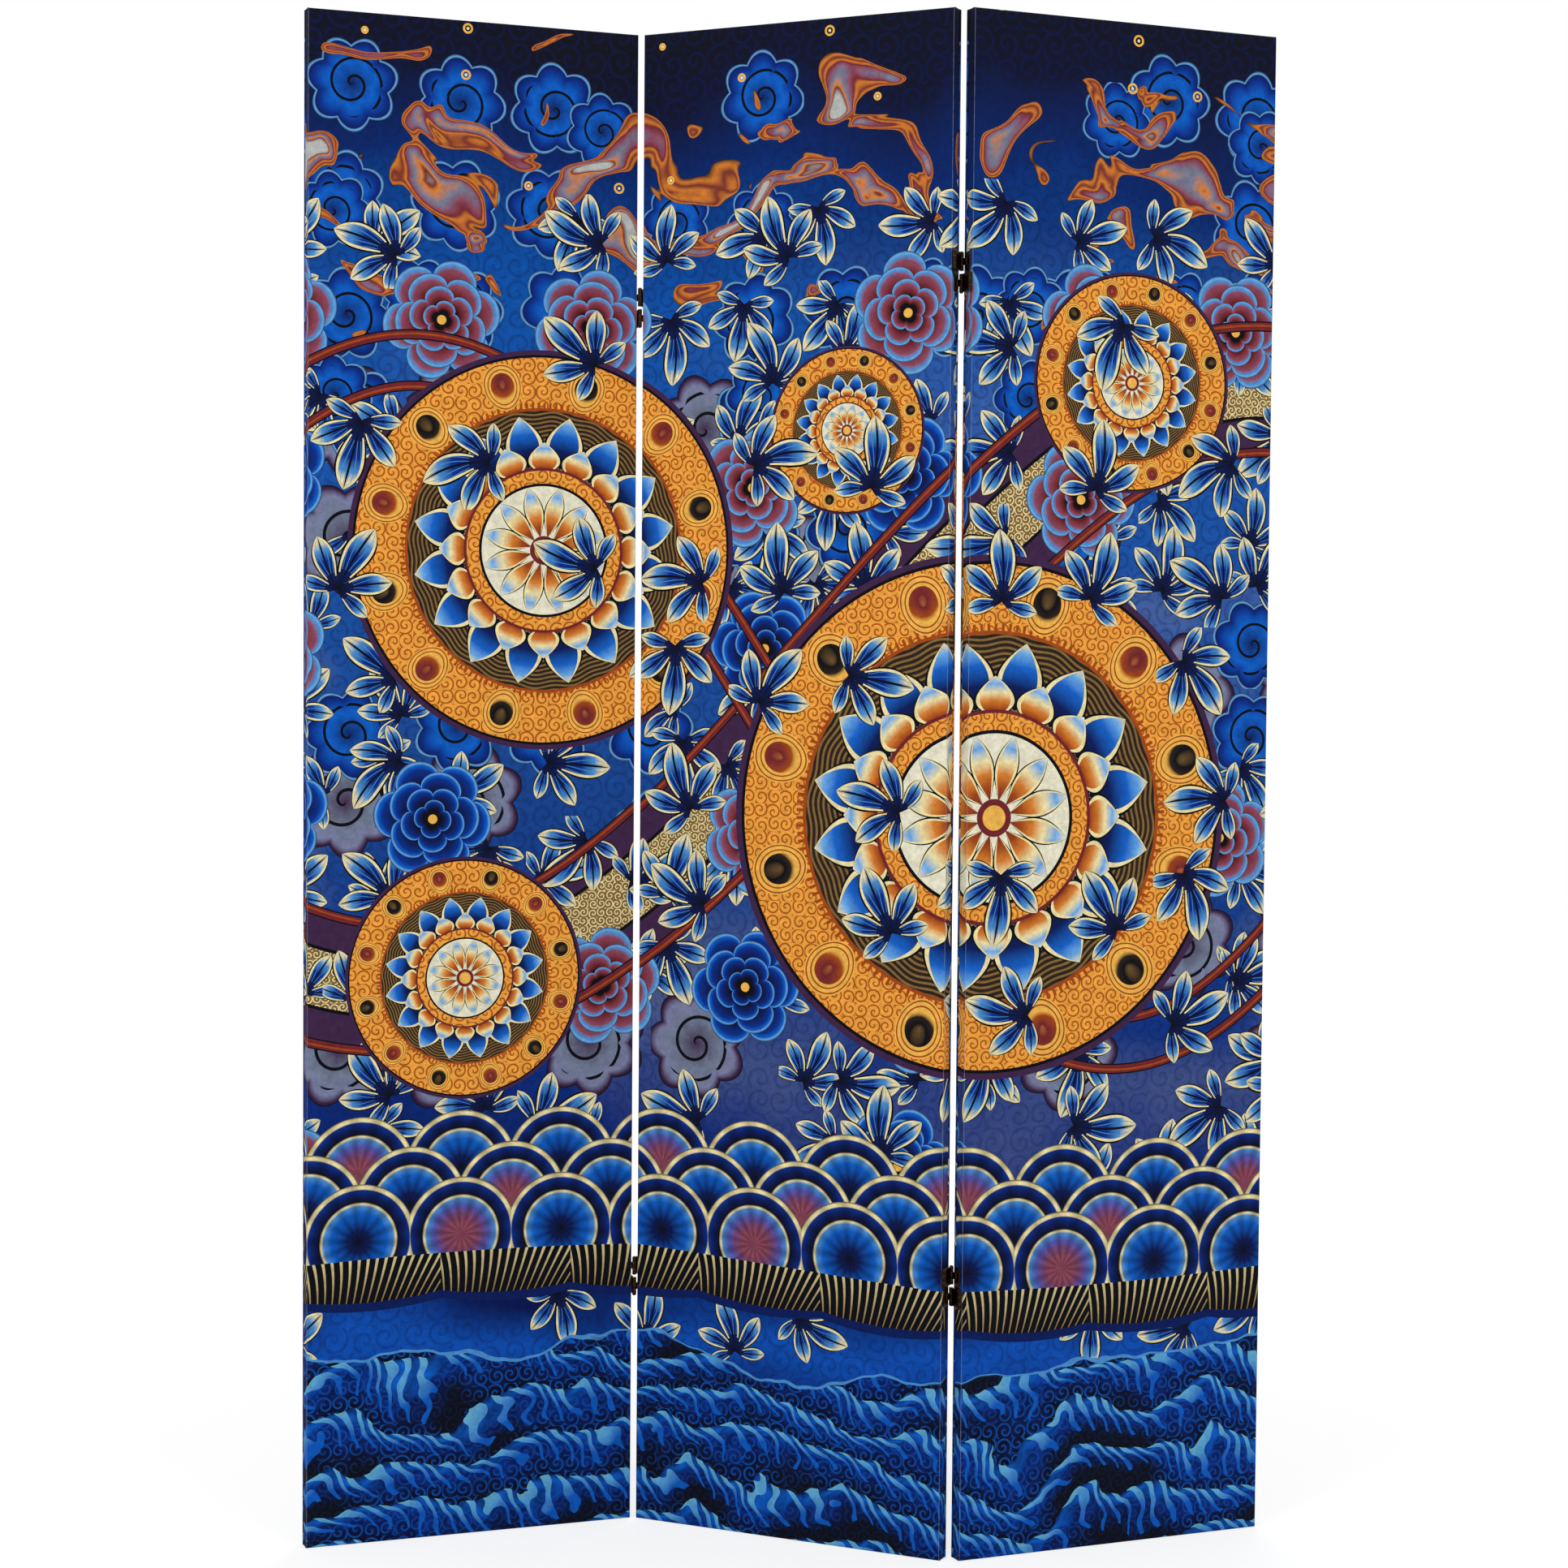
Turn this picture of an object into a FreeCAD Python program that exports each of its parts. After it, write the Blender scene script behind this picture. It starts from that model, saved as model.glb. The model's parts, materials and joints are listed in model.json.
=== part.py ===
"""A folding room divider: three tall panels of printed canvas stretched over softwood frames.

The panels stand in a zigzag and are joined, edge to edge, by double-acting brass hinges. A hinge
has two leaves and two links. The top link runs from the left leaf's front knuckle to the right
leaf's back knuckle, and the bottom link runs the other way, so a pair of panels can close front
to front or back to back.

All sizes are in millimetres. +Z is up, the printed fronts face -Y, and the origin is on the floor
in the middle of the whole outline. A panel is drawn in its own frame: X across it from its left
edge, Y from its front face to its back face, Z up from its bottom edge. A hinge is drawn in its
own frame too: X across the gap from the gap's middle, Y as in the panel, Z up from its middle.
"""

import FreeCAD, Part
import os
from types import SimpleNamespace

import Sketcher
from FreeCAD import Placement, Rotation, Vector

SIZES = {
    # panel outline and how the three panels stand
    "panel_width": 400.0,
    "panel_height": 1800.0,
    "left_turn": 20.0,
    "middle_turn": 24.5,
    "right_turn": 22.0,
    # canvas
    "canvas_thickness": 0.6,
    "lip_width": 18.0,
    "hem_width": 5.0,
    # softwood frame
    "frame_depth": 20.0,
    "edge_round": 1.5,
    "stile_width": 30.0,
    "end_rail_width": 36.0,
    "cross_rail_width": 30.0,
    "lower_cross_height": 620.0,
    "upper_cross_height": 1180.0,
    "tenon_thickness": 7.0,
    "tenon_length": 12.0,
    "tenon_shoulder": 6.0,
    "joint_clearance": 0.1,
    "corner_block_leg": 60.0,
    "corner_block_depth": 12.0,
    # staples
    "staple_crown": 10.0,
    "staple_leg": 8.0,
    "staple_wire": 1.2,
    "staple_pitch": 110.0,
    # hinges
    "hinge_gap": 6.6,
    "axis_stand_off": 0.6,
    "hinge_height": 46.0,
    "hinge_split": 3.5,
    "leaf_thickness": 1.2,
    "leaf_corner": 1.5,
    "leaf_setback": 0.4,
    "arm_overlap": 3.0,
    "arm_clearance": 0.1,
    "link_thickness": 1.2,
    "knuckle_radius": 2.55,
    "leaf_knuckle_length": 8.0,
    "knuckle_clearance": 0.25,
    "window_clearance": 0.4,
    "pin_radius": 1.1,
    "pin_clearance": 0.05,
    "pin_head_radius": 1.8,
    "pin_head_height": 0.8,
    "pin_head_bevel": 0.4,
    "left_top_drop": 326.0,
    "left_bottom_rise": 299.0,
    "right_top_drop": 300.0,
    "right_bottom_rise": 321.0,
    # hinge screws
    "screw_radius": 1.5,
    "screw_length": 16.0,
    "screw_tip": 3.0,
    "screw_head_radius": 2.7,
    "screw_clearance": 0.05,
    "screw_inset": 5.2,
    "screw_edge": 4.0,
    "slot_width": 0.7,
    "slot_length": 3.2,
    "slot_depth": 0.7,
    # how far a cutting shape runs past what it cuts
    "overrun": 2.0,
}


class Size:
    """A size with its number and the sheet's own words for it, which sums and products carry on."""

    def __init__(self, words, number):
        self.words = words
        self.number = number

    def _with(self, other, sign, number):
        words = other.words if isinstance(other, Size) else str(other)
        return Size(f"({self.words} {sign} {words})", number)

    def __add__(self, other):
        return self._with(other, "+", self.number + float(other))

    def __sub__(self, other):
        return self._with(other, "-", self.number - float(other))

    def __mul__(self, share):
        return self._with(share, "*", self.number * float(share))

    def __truediv__(self, share):
        return self._with(share, "/", self.number / float(share))

    def __neg__(self):
        return Size(f"(0 - {self.words})", -self.number)

    def __float__(self):
        return self.number


doc = FreeCAD.newDocument("RoomDivider")
sheet = doc.addObject("Spreadsheet::Sheet", "Sizes")
for row, (alias, number) in enumerate(SIZES.items(), start=1):
    sheet.set(f"A{row}", alias)
    sheet.set(f"B{row}", str(number))
    sheet.setAlias(f"B{row}", alias)
doc.recompute()
size = SimpleNamespace(**{a: Size("Sizes." + a, float(sheet.get(a))) for a in SIZES})

# Places that several pieces share.
panel_depth = size.frame_depth + size.canvas_thickness * 3
wood_start = size.canvas_thickness * 2
wood_front = size.canvas_thickness
wood_bottom = size.canvas_thickness
wood_width = size.panel_width - wood_start * 2
wood_height = size.panel_height - wood_bottom * 2
rail_start = wood_start + size.stile_width
rail_length = wood_width - size.stile_width * 2
lip_back = panel_depth - size.canvas_thickness
half_gap = size.hinge_gap / 2
half_hinge = (size.hinge_height - size.hinge_split) / 2
link_knuckle = (half_hinge - size.leaf_knuckle_length) / 2 - size.knuckle_clearance
half_middle = (size.hinge_split + half_hinge) / 2
bore_radius = size.pin_radius + size.pin_clearance
front_axis = -size.axis_stand_off
back_axis = panel_depth + size.axis_stand_off
leaf_front = size.hem_width + size.leaf_setback
leaf_width = panel_depth - leaf_front * 2
right_axis_x = size.panel_width - size.canvas_thickness + half_gap
left_axis_x = size.canvas_thickness - half_gap
screw_heights = [size.screw_inset, size.hinge_height / 2 - size.screw_edge]

UP = Vector(0, 0, 1)
ACROSS = Vector(1, 0, 0)
BACKWARD = Vector(0, 1, 0)
NO_TURN = Rotation()
HALF_TURN = Rotation(UP, 180)
UPSIDE_DOWN = Rotation(ACROSS, 180)


def spot(x=0, y=0, z=0):
    return Vector(float(x), float(y), float(z))


def bind(thing, **sizes):
    """Ties properties of a feature to the sheet. Two underscores in a name stand for a dot."""
    for name, value in sizes.items():
        words = value.words if isinstance(value, Size) else str(value)
        thing.setExpression(name.replace("__", "."), words)
    return thing


def primitive(kind, name, x, y, z, along=UP, **sizes):
    made = doc.addObject("Part::" + kind, name)
    made.Placement.Rotation = Rotation(UP, along)
    return bind(made, Placement__Base__x=x, Placement__Base__y=y, Placement__Base__z=z, **sizes)


def box(name, length, width, height, x=0, y=0, z=0):
    return primitive("Box", name, x, y, z, Length=length, Width=width, Height=height)


def cylinder(name, radius, height, x=0, y=0, z=0, along=UP):
    return primitive("Cylinder", name, x, y, z, along, Radius=radius, Height=height)


def cone(name, radius, end_radius, height, x=0, y=0, z=0, along=UP):
    sizes = {"Radius1": radius, "Radius2": end_radius, "Height": height}
    return primitive("Cone", name, x, y, z, along, **sizes)


def fuse(name, *shapes):
    made = doc.addObject("Part::MultiFuse", name)
    made.Shapes = list(shapes)
    made.Refine = True
    return made


def cut(name, base, *tools):
    made = doc.addObject("Part::Cut", name)
    made.Base = base
    made.Tool = tools[0] if len(tools) == 1 else compound(name + "_cutters", *tools)
    return made


def common(name, base, tool):
    made = doc.addObject("Part::Common", name)
    made.Base = base
    made.Tool = tool
    return made


def compound(name, *things):
    made = doc.addObject("Part::Compound", name)
    made.Links = list(things)
    return made


def rounded(name, base, radius, picked):
    """The base with a fillet on every edge that the test picks."""
    doc.recompute()
    made = doc.addObject("Part::Fillet", name)
    made.Base = base
    edges = enumerate(base.Shape.Edges, start=1)
    made.Edges = [(i, float(radius), float(radius)) for i, edge in edges if picked(edge)]
    return made


def runs_along(edge, direction):
    """Whether an edge runs along the direction, either way."""
    run = edge.Vertexes[-1].Point - edge.Vertexes[0].Point
    return run.Length > 0 and run.cross(direction).Length < run.Length / 1000


def outline(body, plane, points):
    """A closed outline of straight lines in one of a body's planes, each corner held by two sizes."""
    sketch = body.newObject("Sketcher::SketchObject", body.Name + "_outline")
    planes = [feature for feature in body.Origin.OriginFeatures if feature.Role == plane]
    sketch.AttachmentSupport = [(planes[0], "")]
    sketch.MapMode = "FlatFace"
    corners = [spot(x, y) for x, y in points]
    for i, corner in enumerate(corners):
        sketch.addGeometry(Part.LineSegment(corner, corners[(i + 1) % len(corners)]), False)
    for i in range(len(corners)):
        after = (i + 1) % len(corners)
        sketch.addConstraint(Sketcher.Constraint("Coincident", i, 2, after, 1))
    for i, point in enumerate(points):
        for kind, value in zip(("DistanceX", "DistanceY"), point):
            number = sketch.addConstraint(Sketcher.Constraint(kind, -1, 1, i, 1, float(value)))
            bind(sketch, **{f"Constraints[{number}]": value})
    return sketch


def pad(name, plane, points, length):
    body = doc.addObject("PartDesign::Body", name)
    feature = body.newObject("PartDesign::Pad", name + "_pad")
    feature.Profile = outline(body, plane, points)
    bind(feature, Length=length)
    body.Tip = feature
    return body


def turned(name, points):
    """A solid turned about its own Z axis from an outline of radius and height."""
    body = doc.addObject("PartDesign::Body", name)
    feature = body.newObject("PartDesign::Revolution", name + "_turning")
    feature.Profile = outline(body, "XZ_Plane", points)
    feature.ReferenceAxis = (feature.Profile[0], ["V_Axis"])
    body.Tip = feature
    return body


def copies(name, source, places):
    """One group of equal pieces, one at each place."""
    doc.recompute()
    made = doc.addObject("Part::Feature", name)
    made.Shape = Part.makeCompound([source.Shape.transformed(p.toMatrix(), True) for p in places])
    return made


nodes = []


def node(label, thing, panel, place=Placement()):
    """Lists a finished piece with the panel that carries it and its place in that panel's frame."""
    nodes.append((label, thing, panel, place))


# Softwood frame

def wood_space():
    """The room inside the canvas, with its four front edges rounded as the wood's are."""
    room = box("wood_room", wood_width, size.frame_depth, wood_height, wood_start, wood_front, wood_bottom)
    radius = size.edge_round - size.canvas_thickness

    def on_front(edge):
        return all(abs(v.Y - float(wood_front)) < float(radius) / 2 for v in edge.Vertexes)

    return rounded("wood_space", room, radius, on_front)


def rail(name, width, z):
    """A rail between the stiles with a stub tenon at each end."""
    body = box(name + "_bar", rail_length, size.frame_depth, width, rail_start, wood_front, z)
    tenon_height = width - size.tenon_shoulder * 2
    tenon_y = wood_front + (size.frame_depth - size.tenon_thickness) / 2
    tenon = box(
        name + "_tenon",
        rail_length + size.tenon_length * 2,
        size.tenon_thickness,
        tenon_height,
        rail_start - size.tenon_length,
        tenon_y,
        z + size.tenon_shoulder,
    )
    return fuse(name + "_blank", body, tenon)


def mortises(name, rails):
    """The sockets that the tenons of all rails enter, across both stiles."""
    gap = size.joint_clearance
    made = []
    for number, (width, z) in enumerate(rails):
        socket = box(
            f"{name}_{number}",
            rail_length + (size.tenon_length + gap) * 2,
            size.tenon_thickness + gap * 2,
            width - (size.tenon_shoulder - gap) * 2,
            rail_start - size.tenon_length - gap,
            wood_front + (size.frame_depth - size.tenon_thickness) / 2 - gap,
            z + size.tenon_shoulder - gap,
        )
        made.append(socket)
    return compound(name, *made)


def corner_block():
    leg = size.corner_block_leg
    return pad("corner_block", "XZ_Plane", [(0, 0), (leg, 0), (0, leg)], size.corner_block_depth)


def corner_block_places():
    """A block in each inner corner, glued to stile and rail."""
    left = rail_start
    right = size.panel_width - rail_start
    low = wood_bottom + size.end_rail_width
    high = size.panel_height - wood_bottom - size.end_rail_width
    back = wood_front + (size.frame_depth + size.corner_block_depth) / 2
    corners = [(left, low, 0), (right, low, 270), (right, high, 180), (left, high, 90)]
    return [Placement(spot(x, back, z), Rotation(BACKWARD, turn)) for x, z, turn in corners]


# Canvas

def canvas_tray(name, space, fasteners):
    """The front canvas: front, four sides and the lips that fold onto the back of the frame."""
    skin = size.canvas_thickness
    tray_width = size.panel_width - skin * 2
    block = box(name + "_block", tray_width, lip_back, size.panel_height, skin, 0, 0)

    def on_front(edge):
        return all(abs(v.Y) < float(skin) / 2 for v in edge.Vertexes)

    shell = rounded(name + "_shell", block, size.edge_round, on_front)
    opening = box(
        name + "_opening",
        tray_width - size.lip_width * 2,
        size.frame_depth + skin + size.overrun,
        size.panel_height - size.lip_width * 2,
        skin + size.lip_width,
        wood_front + size.frame_depth / 2,
        size.lip_width,
    )
    return cut(name + "_cloth", shell, space, opening, *fasteners)


def back_sheet(name):
    """The back canvas: a sheet over the back with a hem round the back corner of each side."""
    skin = size.canvas_thickness
    block = box(
        name + "_block",
        size.panel_width,
        size.hem_width,
        size.panel_height,
        0,
        panel_depth - size.hem_width,
        0,
    )

    def at_back_corner(edge):
        behind = all(abs(v.Y - float(panel_depth)) < float(skin) / 2 for v in edge.Vertexes)
        return behind and runs_along(edge, UP)

    sheet_block = rounded(name + "_round", block, size.edge_round, at_back_corner)
    inside = box(
        name + "_inside",
        size.panel_width - skin * 2,
        size.hem_width + size.overrun - skin,
        size.panel_height + size.overrun * 2,
        skin,
        panel_depth - size.hem_width - size.overrun,
        -size.overrun,
    )
    return cut(name + "_cloth", sheet_block, inside)


# Staples

def staple():
    """A flat staple in the canvas lip: its crown along X, its legs into the wood towards -Y."""
    crown = size.staple_crown
    wire = size.staple_wire
    skin = size.canvas_thickness
    left = -crown / 2
    low = -wire / 2
    bar = box("staple_bar", crown, skin, wire, left, -skin, low)
    left_leg = box("staple_left_leg", skin, size.staple_leg, wire, left, -size.staple_leg, low)
    right_leg = box("staple_right_leg", skin, size.staple_leg, wire, crown / 2 - skin, -size.staple_leg, low)
    return fuse("staple", bar, left_leg, right_leg)


def steps(length, pitch):
    """Evenly spaced places along a length, about one pitch apart and half a step from its ends."""
    count = max(int(float(length) // float(pitch)), 1)
    return [length * (2 * i + 1) / (2 * count) for i in range(count)]


def staple_rows():
    """A row of staples along the middle of each lip, by the edge of the panel that it follows."""
    side_inset = size.canvas_thickness + size.lip_width / 2
    end_inset = size.lip_width / 2
    upright = Rotation(BACKWARD, 90)
    rows = {}
    for edge, x in (("left", side_inset), ("right", size.panel_width - side_inset)):
        heights = steps(size.panel_height, size.staple_pitch)
        rows[edge] = [Placement(spot(x, lip_back, z), upright) for z in heights]
    for edge, z in (("bottom", end_inset), ("top", size.panel_height - end_inset)):
        across = steps(rail_length, size.staple_pitch)
        rows[edge] = [Placement(spot(rail_start + x, lip_back, z), NO_TURN) for x in across]
    return rows


# Hinge screws

def screw():
    """A countersunk wood screw: its head's face on Z = 0, its tip up."""
    head = size.screw_head_radius
    shank = size.screw_radius
    tip = size.screw_length - size.screw_tip
    points = [(0, 0), (head, 0), (shank, size.leaf_thickness), (shank, tip), (0, size.screw_length)]
    blank = turned("screw_blank", points)
    long = size.slot_length
    thin = size.slot_width
    first = box("screw_slot", long, thin, size.slot_depth, -long / 2, -thin / 2, 0)
    second = box("screw_cross_slot", thin, long, size.slot_depth, -thin / 2, -long / 2, 0)
    return cut("screw", blank, first, second)


def screw_places(x, inward, hinge_heights):
    """Where the screws stand in one edge of a panel, through leaves at these heights."""
    places = []
    for hinge_height in hinge_heights:
        for rise in screw_heights:
            for z in (hinge_height - rise, hinge_height + rise):
                places.append(Placement(spot(x, panel_depth / 2, z), Rotation(UP, inward)))
    return places


# Double-acting hinges

def leaf(name):
    """The leaf on the left side of a gap. Turned about, it is the leaf on the right side."""
    thick = size.leaf_thickness
    seat = -half_gap
    tall = size.hinge_height
    plate = box(name + "_plate", thick, leaf_width, tall, seat, leaf_front, -tall / 2)
    plate = rounded(name + "_card", plate, size.leaf_corner, lambda edge: runs_along(edge, ACROSS))
    long = size.leaf_knuckle_length
    arm_x = seat + size.canvas_thickness + size.arm_clearance
    arm_width = leaf_front - front_axis + size.arm_overlap
    arms = []
    bores = []
    for end, y, arm_y, z in (
        ("front", front_axis, front_axis, half_middle),
        ("back", back_axis, back_axis - arm_width, -half_middle),
    ):
        low = z - long / 2
        arms.append(box(f"{name}_{end}_arm", thick, arm_width, long, arm_x, arm_y, low))
        arms.append(cylinder(f"{name}_{end}_knuckle", size.knuckle_radius, long, 0, y, low))
        bores.append(cylinder(f"{name}_{end}_bore", size.pin_radius, long, 0, y, low))
    solid = fuse(name + "_blank", plate, *arms)
    head = size.screw_head_radius + size.screw_clearance
    shank = size.screw_radius + size.screw_clearance
    face = seat + thick
    for number, rise in enumerate(screw_heights):
        for side, z in (("low", -rise), ("high", rise)):
            hole = f"{name}_{side}_hole_{number}"
            bores.append(cone(hole, head, shank, thick, face, panel_depth / 2, z, -ACROSS))
    return cut(name + "_cut", solid, *bores)


def link(name):
    """A plate on the gap's middle plane with two knuckles at each end, standing on Z = 0."""
    thick = size.link_thickness
    reach = size.knuckle_radius + size.window_clearance
    window = half_hinge - link_knuckle * 2
    span = back_axis - front_axis
    plate = box(name + "_plate", thick, span, half_hinge, -thick / 2, front_axis, 0)
    wide = thick + size.overrun * 2
    windows = [
        box(f"{name}_window_{end}", wide, reach * 2, window, -wide / 2, y - reach, link_knuckle)
        for end, y in (("front", front_axis), ("back", back_axis))
    ]
    card = cut(name + "_card", plate, *windows)
    knuckles = []
    bores = []
    for end, y in (("front", front_axis), ("back", back_axis)):
        for side, z in (("low", 0), ("high", half_hinge - link_knuckle)):
            spool = f"{name}_{end}_{side}"
            knuckles.append(cylinder(spool + "_knuckle", size.knuckle_radius, link_knuckle, 0, y, z))
        bore = cylinder(f"{name}_{end}_bore", bore_radius, half_hinge, 0, y, 0)
        bores.append(bore)
    return cut(name + "_cut", fuse(name + "_blank", card, *knuckles), *bores)


def pin():
    """A hinge pin for one half of a hinge: its plain end on Z = 0, its low domed head up."""
    shank = size.pin_radius
    head = size.pin_head_radius
    seat = half_hinge + size.knuckle_clearance
    top = seat + size.pin_head_height
    shoulder = top - size.pin_head_bevel
    rim = head - size.pin_head_bevel
    points = [(0, 0), (shank, 0), (shank, seat), (head, seat), (head, shoulder), (rim, top), (0, top)]
    return turned("pin", points)


def pin_places(axis_x, hinge_heights, upper_y, lower_y):
    """Pins of one panel's leaves: one in the upper half at one axis, one in the lower at the other."""
    rise = size.hinge_split / 2
    places = []
    for z in hinge_heights:
        places.append(Placement(spot(axis_x, upper_y, z + rise), NO_TURN))
        places.append(Placement(spot(axis_x, lower_y, z - rise), UPSIDE_DOWN))
    return places


left_hinge_heights = [size.panel_height - size.left_top_drop, size.left_bottom_rise]
right_hinge_heights = [size.panel_height - size.right_top_drop, size.right_bottom_rise]

# Panels

rails = {
    "bottom_rail": (size.end_rail_width, wood_bottom),
    "lower_cross_rail": (size.cross_rail_width, size.lower_cross_height),
    "upper_cross_rail": (size.cross_rail_width, size.upper_cross_height),
    "top_rail": (size.end_rail_width, size.panel_height - wood_bottom - size.end_rail_width),
}
space = wood_space()
one_block = corner_block()
one_staple = staple()
one_screw = screw()
one_pin = pin()
edge_faces = {
    "left": (size.canvas_thickness - size.leaf_thickness, ACROSS),
    "right": (size.panel_width - size.canvas_thickness + size.leaf_thickness, -ACROSS),
}
hinged_edges = {
    "left_panel": {"right": left_hinge_heights},
    "middle_panel": {"left": left_hinge_heights, "right": right_hinge_heights},
    "right_panel": {"left": right_hinge_heights},
}
for panel, edges in hinged_edges.items():
    screws = {}
    for edge, heights in edges.items():
        places = screw_places(*edge_faces[edge], heights)
        screws[edge] = copies(f"{panel}_{edge}_screw_row", one_screw, places)
    staples = {}
    for edge, places in staple_rows().items():
        staples[edge] = copies(f"{panel}_{edge}_staple_row", one_staple, places)
    sockets = mortises(panel + "_mortises", rails.values())
    for edge, x in (("left", wood_start), ("right", size.panel_width - rail_start)):
        name = f"{panel}_{edge}_stile"
        bar = box(name + "_bar", size.stile_width, size.frame_depth, wood_height, x, wood_front, wood_bottom)
        fasteners = [row[edge] for row in (staples, screws) if edge in row]
        shaped = common(name + "_shaped", bar, space)
        node(name, cut(name + "_cut", shaped, sockets, *fasteners), panel)
    for rail_name, (width, z) in rails.items():
        name = f"{panel}_{rail_name}"
        edge = rail_name.split("_")[0]
        shaped = common(name + "_shaped", rail(name, width, z), space)
        node(name, cut(name + "_cut", shaped, staples[edge]) if edge in staples else shaped, panel)
    blocks = copies(panel + "_block_set", one_block, corner_block_places())
    fasteners = [*staples.values(), *screws.values()]
    node(panel + "_corner_blocks", compound(panel + "_blocks", blocks), panel)
    node(panel + "_front_canvas", canvas_tray(panel + "_front", space, fasteners), panel)
    node(panel + "_back_canvas", back_sheet(panel + "_back"), panel)
    node(panel + "_staples", compound(panel + "_staple_group", *staples.values()), panel)
    node(panel + "_hinge_screws", compound(panel + "_screw_group", *screws.values()), panel)

# Hinges. At the left joint the front axis moves and at the right joint the back axis, so the top
# link goes with the middle panel at both and the bottom link with the outer panels.

joints = (
    ("left", "left_panel", "middle_panel", left_hinge_heights),
    ("right", "middle_panel", "right_panel", right_hinge_heights),
)
for joint, left_panel, right_panel, heights in joints:
    outer_panel = joint + "_panel"
    for level, z in zip(("upper", "lower"), heights):
        hinge = f"{joint}_{level}_hinge"
        seat = {left_panel: spot(right_axis_x, 0, z), right_panel: spot(left_axis_x, 0, z)}
        about = Placement(seat[right_panel] + spot(0, panel_depth, 0), HALF_TURN)
        node(hinge + "_left_leaf", leaf(hinge + "_left"), left_panel, Placement(seat[left_panel], NO_TURN))
        node(hinge + "_right_leaf", leaf(hinge + "_right"), right_panel, about)
        top = Placement(seat["middle_panel"] + spot(z=size.hinge_split / 2), NO_TURN)
        bottom = Placement(seat[outer_panel] - spot(z=size.hinge_split / 2 + half_hinge), NO_TURN)
        node(hinge + "_top_link", link(hinge + "_top"), "middle_panel", top)
        node(hinge + "_bottom_link", link(hinge + "_bottom"), outer_panel, bottom)
    on_left = copies(joint + "_pins_left", one_pin, pin_places(right_axis_x, heights, front_axis, back_axis))
    on_right = copies(joint + "_pins_right", one_pin, pin_places(left_axis_x, heights, back_axis, front_axis))
    node(f"{joint}_hinges_left_pins", compound(joint + "_left_pin_group", on_left), left_panel)
    node(f"{joint}_hinges_right_pins", compound(joint + "_right_pin_group", on_right), right_panel)

doc.recompute()

# The stance. The middle panel is placed first; the outer panels meet it at the axes that move.

def turn(angle):
    return Rotation(UP, float(angle))


def beside(angle, own_axis, shared_axis):
    """The place of a panel that is turned by an angle and hangs by its own axis on a shared one."""
    return Placement(shared_axis - turn(angle).multVec(own_axis), turn(angle))


middle_place = Placement(spot(), turn(-size.middle_turn))
left_joint_axis = middle_place.multVec(spot(left_axis_x, front_axis))
right_joint_axis = middle_place.multVec(spot(right_axis_x, back_axis))
stance = {
    "middle_panel": middle_place,
    "left_panel": beside(size.left_turn, spot(right_axis_x, front_axis), left_joint_axis),
    "right_panel": beside(size.right_turn, spot(left_axis_x, back_axis), right_joint_axis),
}
for label, thing, panel, place in nodes:
    thing.Label = label
    thing.Placement = stance[panel].multiply(place)
whole = Part.makeCompound([thing.Shape for label, thing, panel, place in nodes])
outline_box = whole.optimalBoundingBox(False, False)
to_origin = Placement(-Vector(outline_box.Center.x, outline_box.Center.y, outline_box.ZMin), NO_TURN)
for label, thing, panel, place in nodes:
    thing.Placement = to_origin.multiply(stance[panel]).multiply(place)

for thing in doc.Objects:
    if "Invalid" in thing.State or "Error" in thing.State:
        raise RuntimeError(f"{thing.Label} failed: {thing.State}")
os.makedirs("parts", exist_ok=True)
for label, thing, panel, place in nodes:
    shape = thing.Shape
    if shape.isNull() or not shape.isValid() or not shape.Solids:
        raise RuntimeError(f"{label} has no valid solid")
    shape.exportStep(f"parts/{label}.step")

axis_names = ("left joint, front axis", "right joint, back axis")
for name, axis in zip(axis_names, (left_joint_axis, right_joint_axis)):
    there = to_origin.multVec(axis)
    print(f"{name}: x {there.x:.4f}, y {there.y:.4f}")
for panel, place in stance.items():
    base = to_origin.multiply(place).Base
    print(f"{panel} corner: x {base.x:.4f}, y {base.y:.4f}")
print(f"{len(nodes)} nodes, whole {outline_box.XLength:.3f} x {outline_box.YLength:.3f}"
      f" x {outline_box.ZLength:.3f} mm")
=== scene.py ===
"""The looks of a folding room divider: three printed canvas panels joined by antique brass hinges.

Everything is in metres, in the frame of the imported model: +Z is up, the printed fronts face -Y and
the floor is at 0. A panel is made in its own frame, with X across it from its left edge, Y from its
front to its back and Z up, and is then stood in its place. The print is laid out on the screen as
if it were unfolded: U runs across all three panels from the left edge and V is the height.
"""

import json
import math

import bmesh
import bpy
from mathutils import Matrix, Vector

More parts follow.
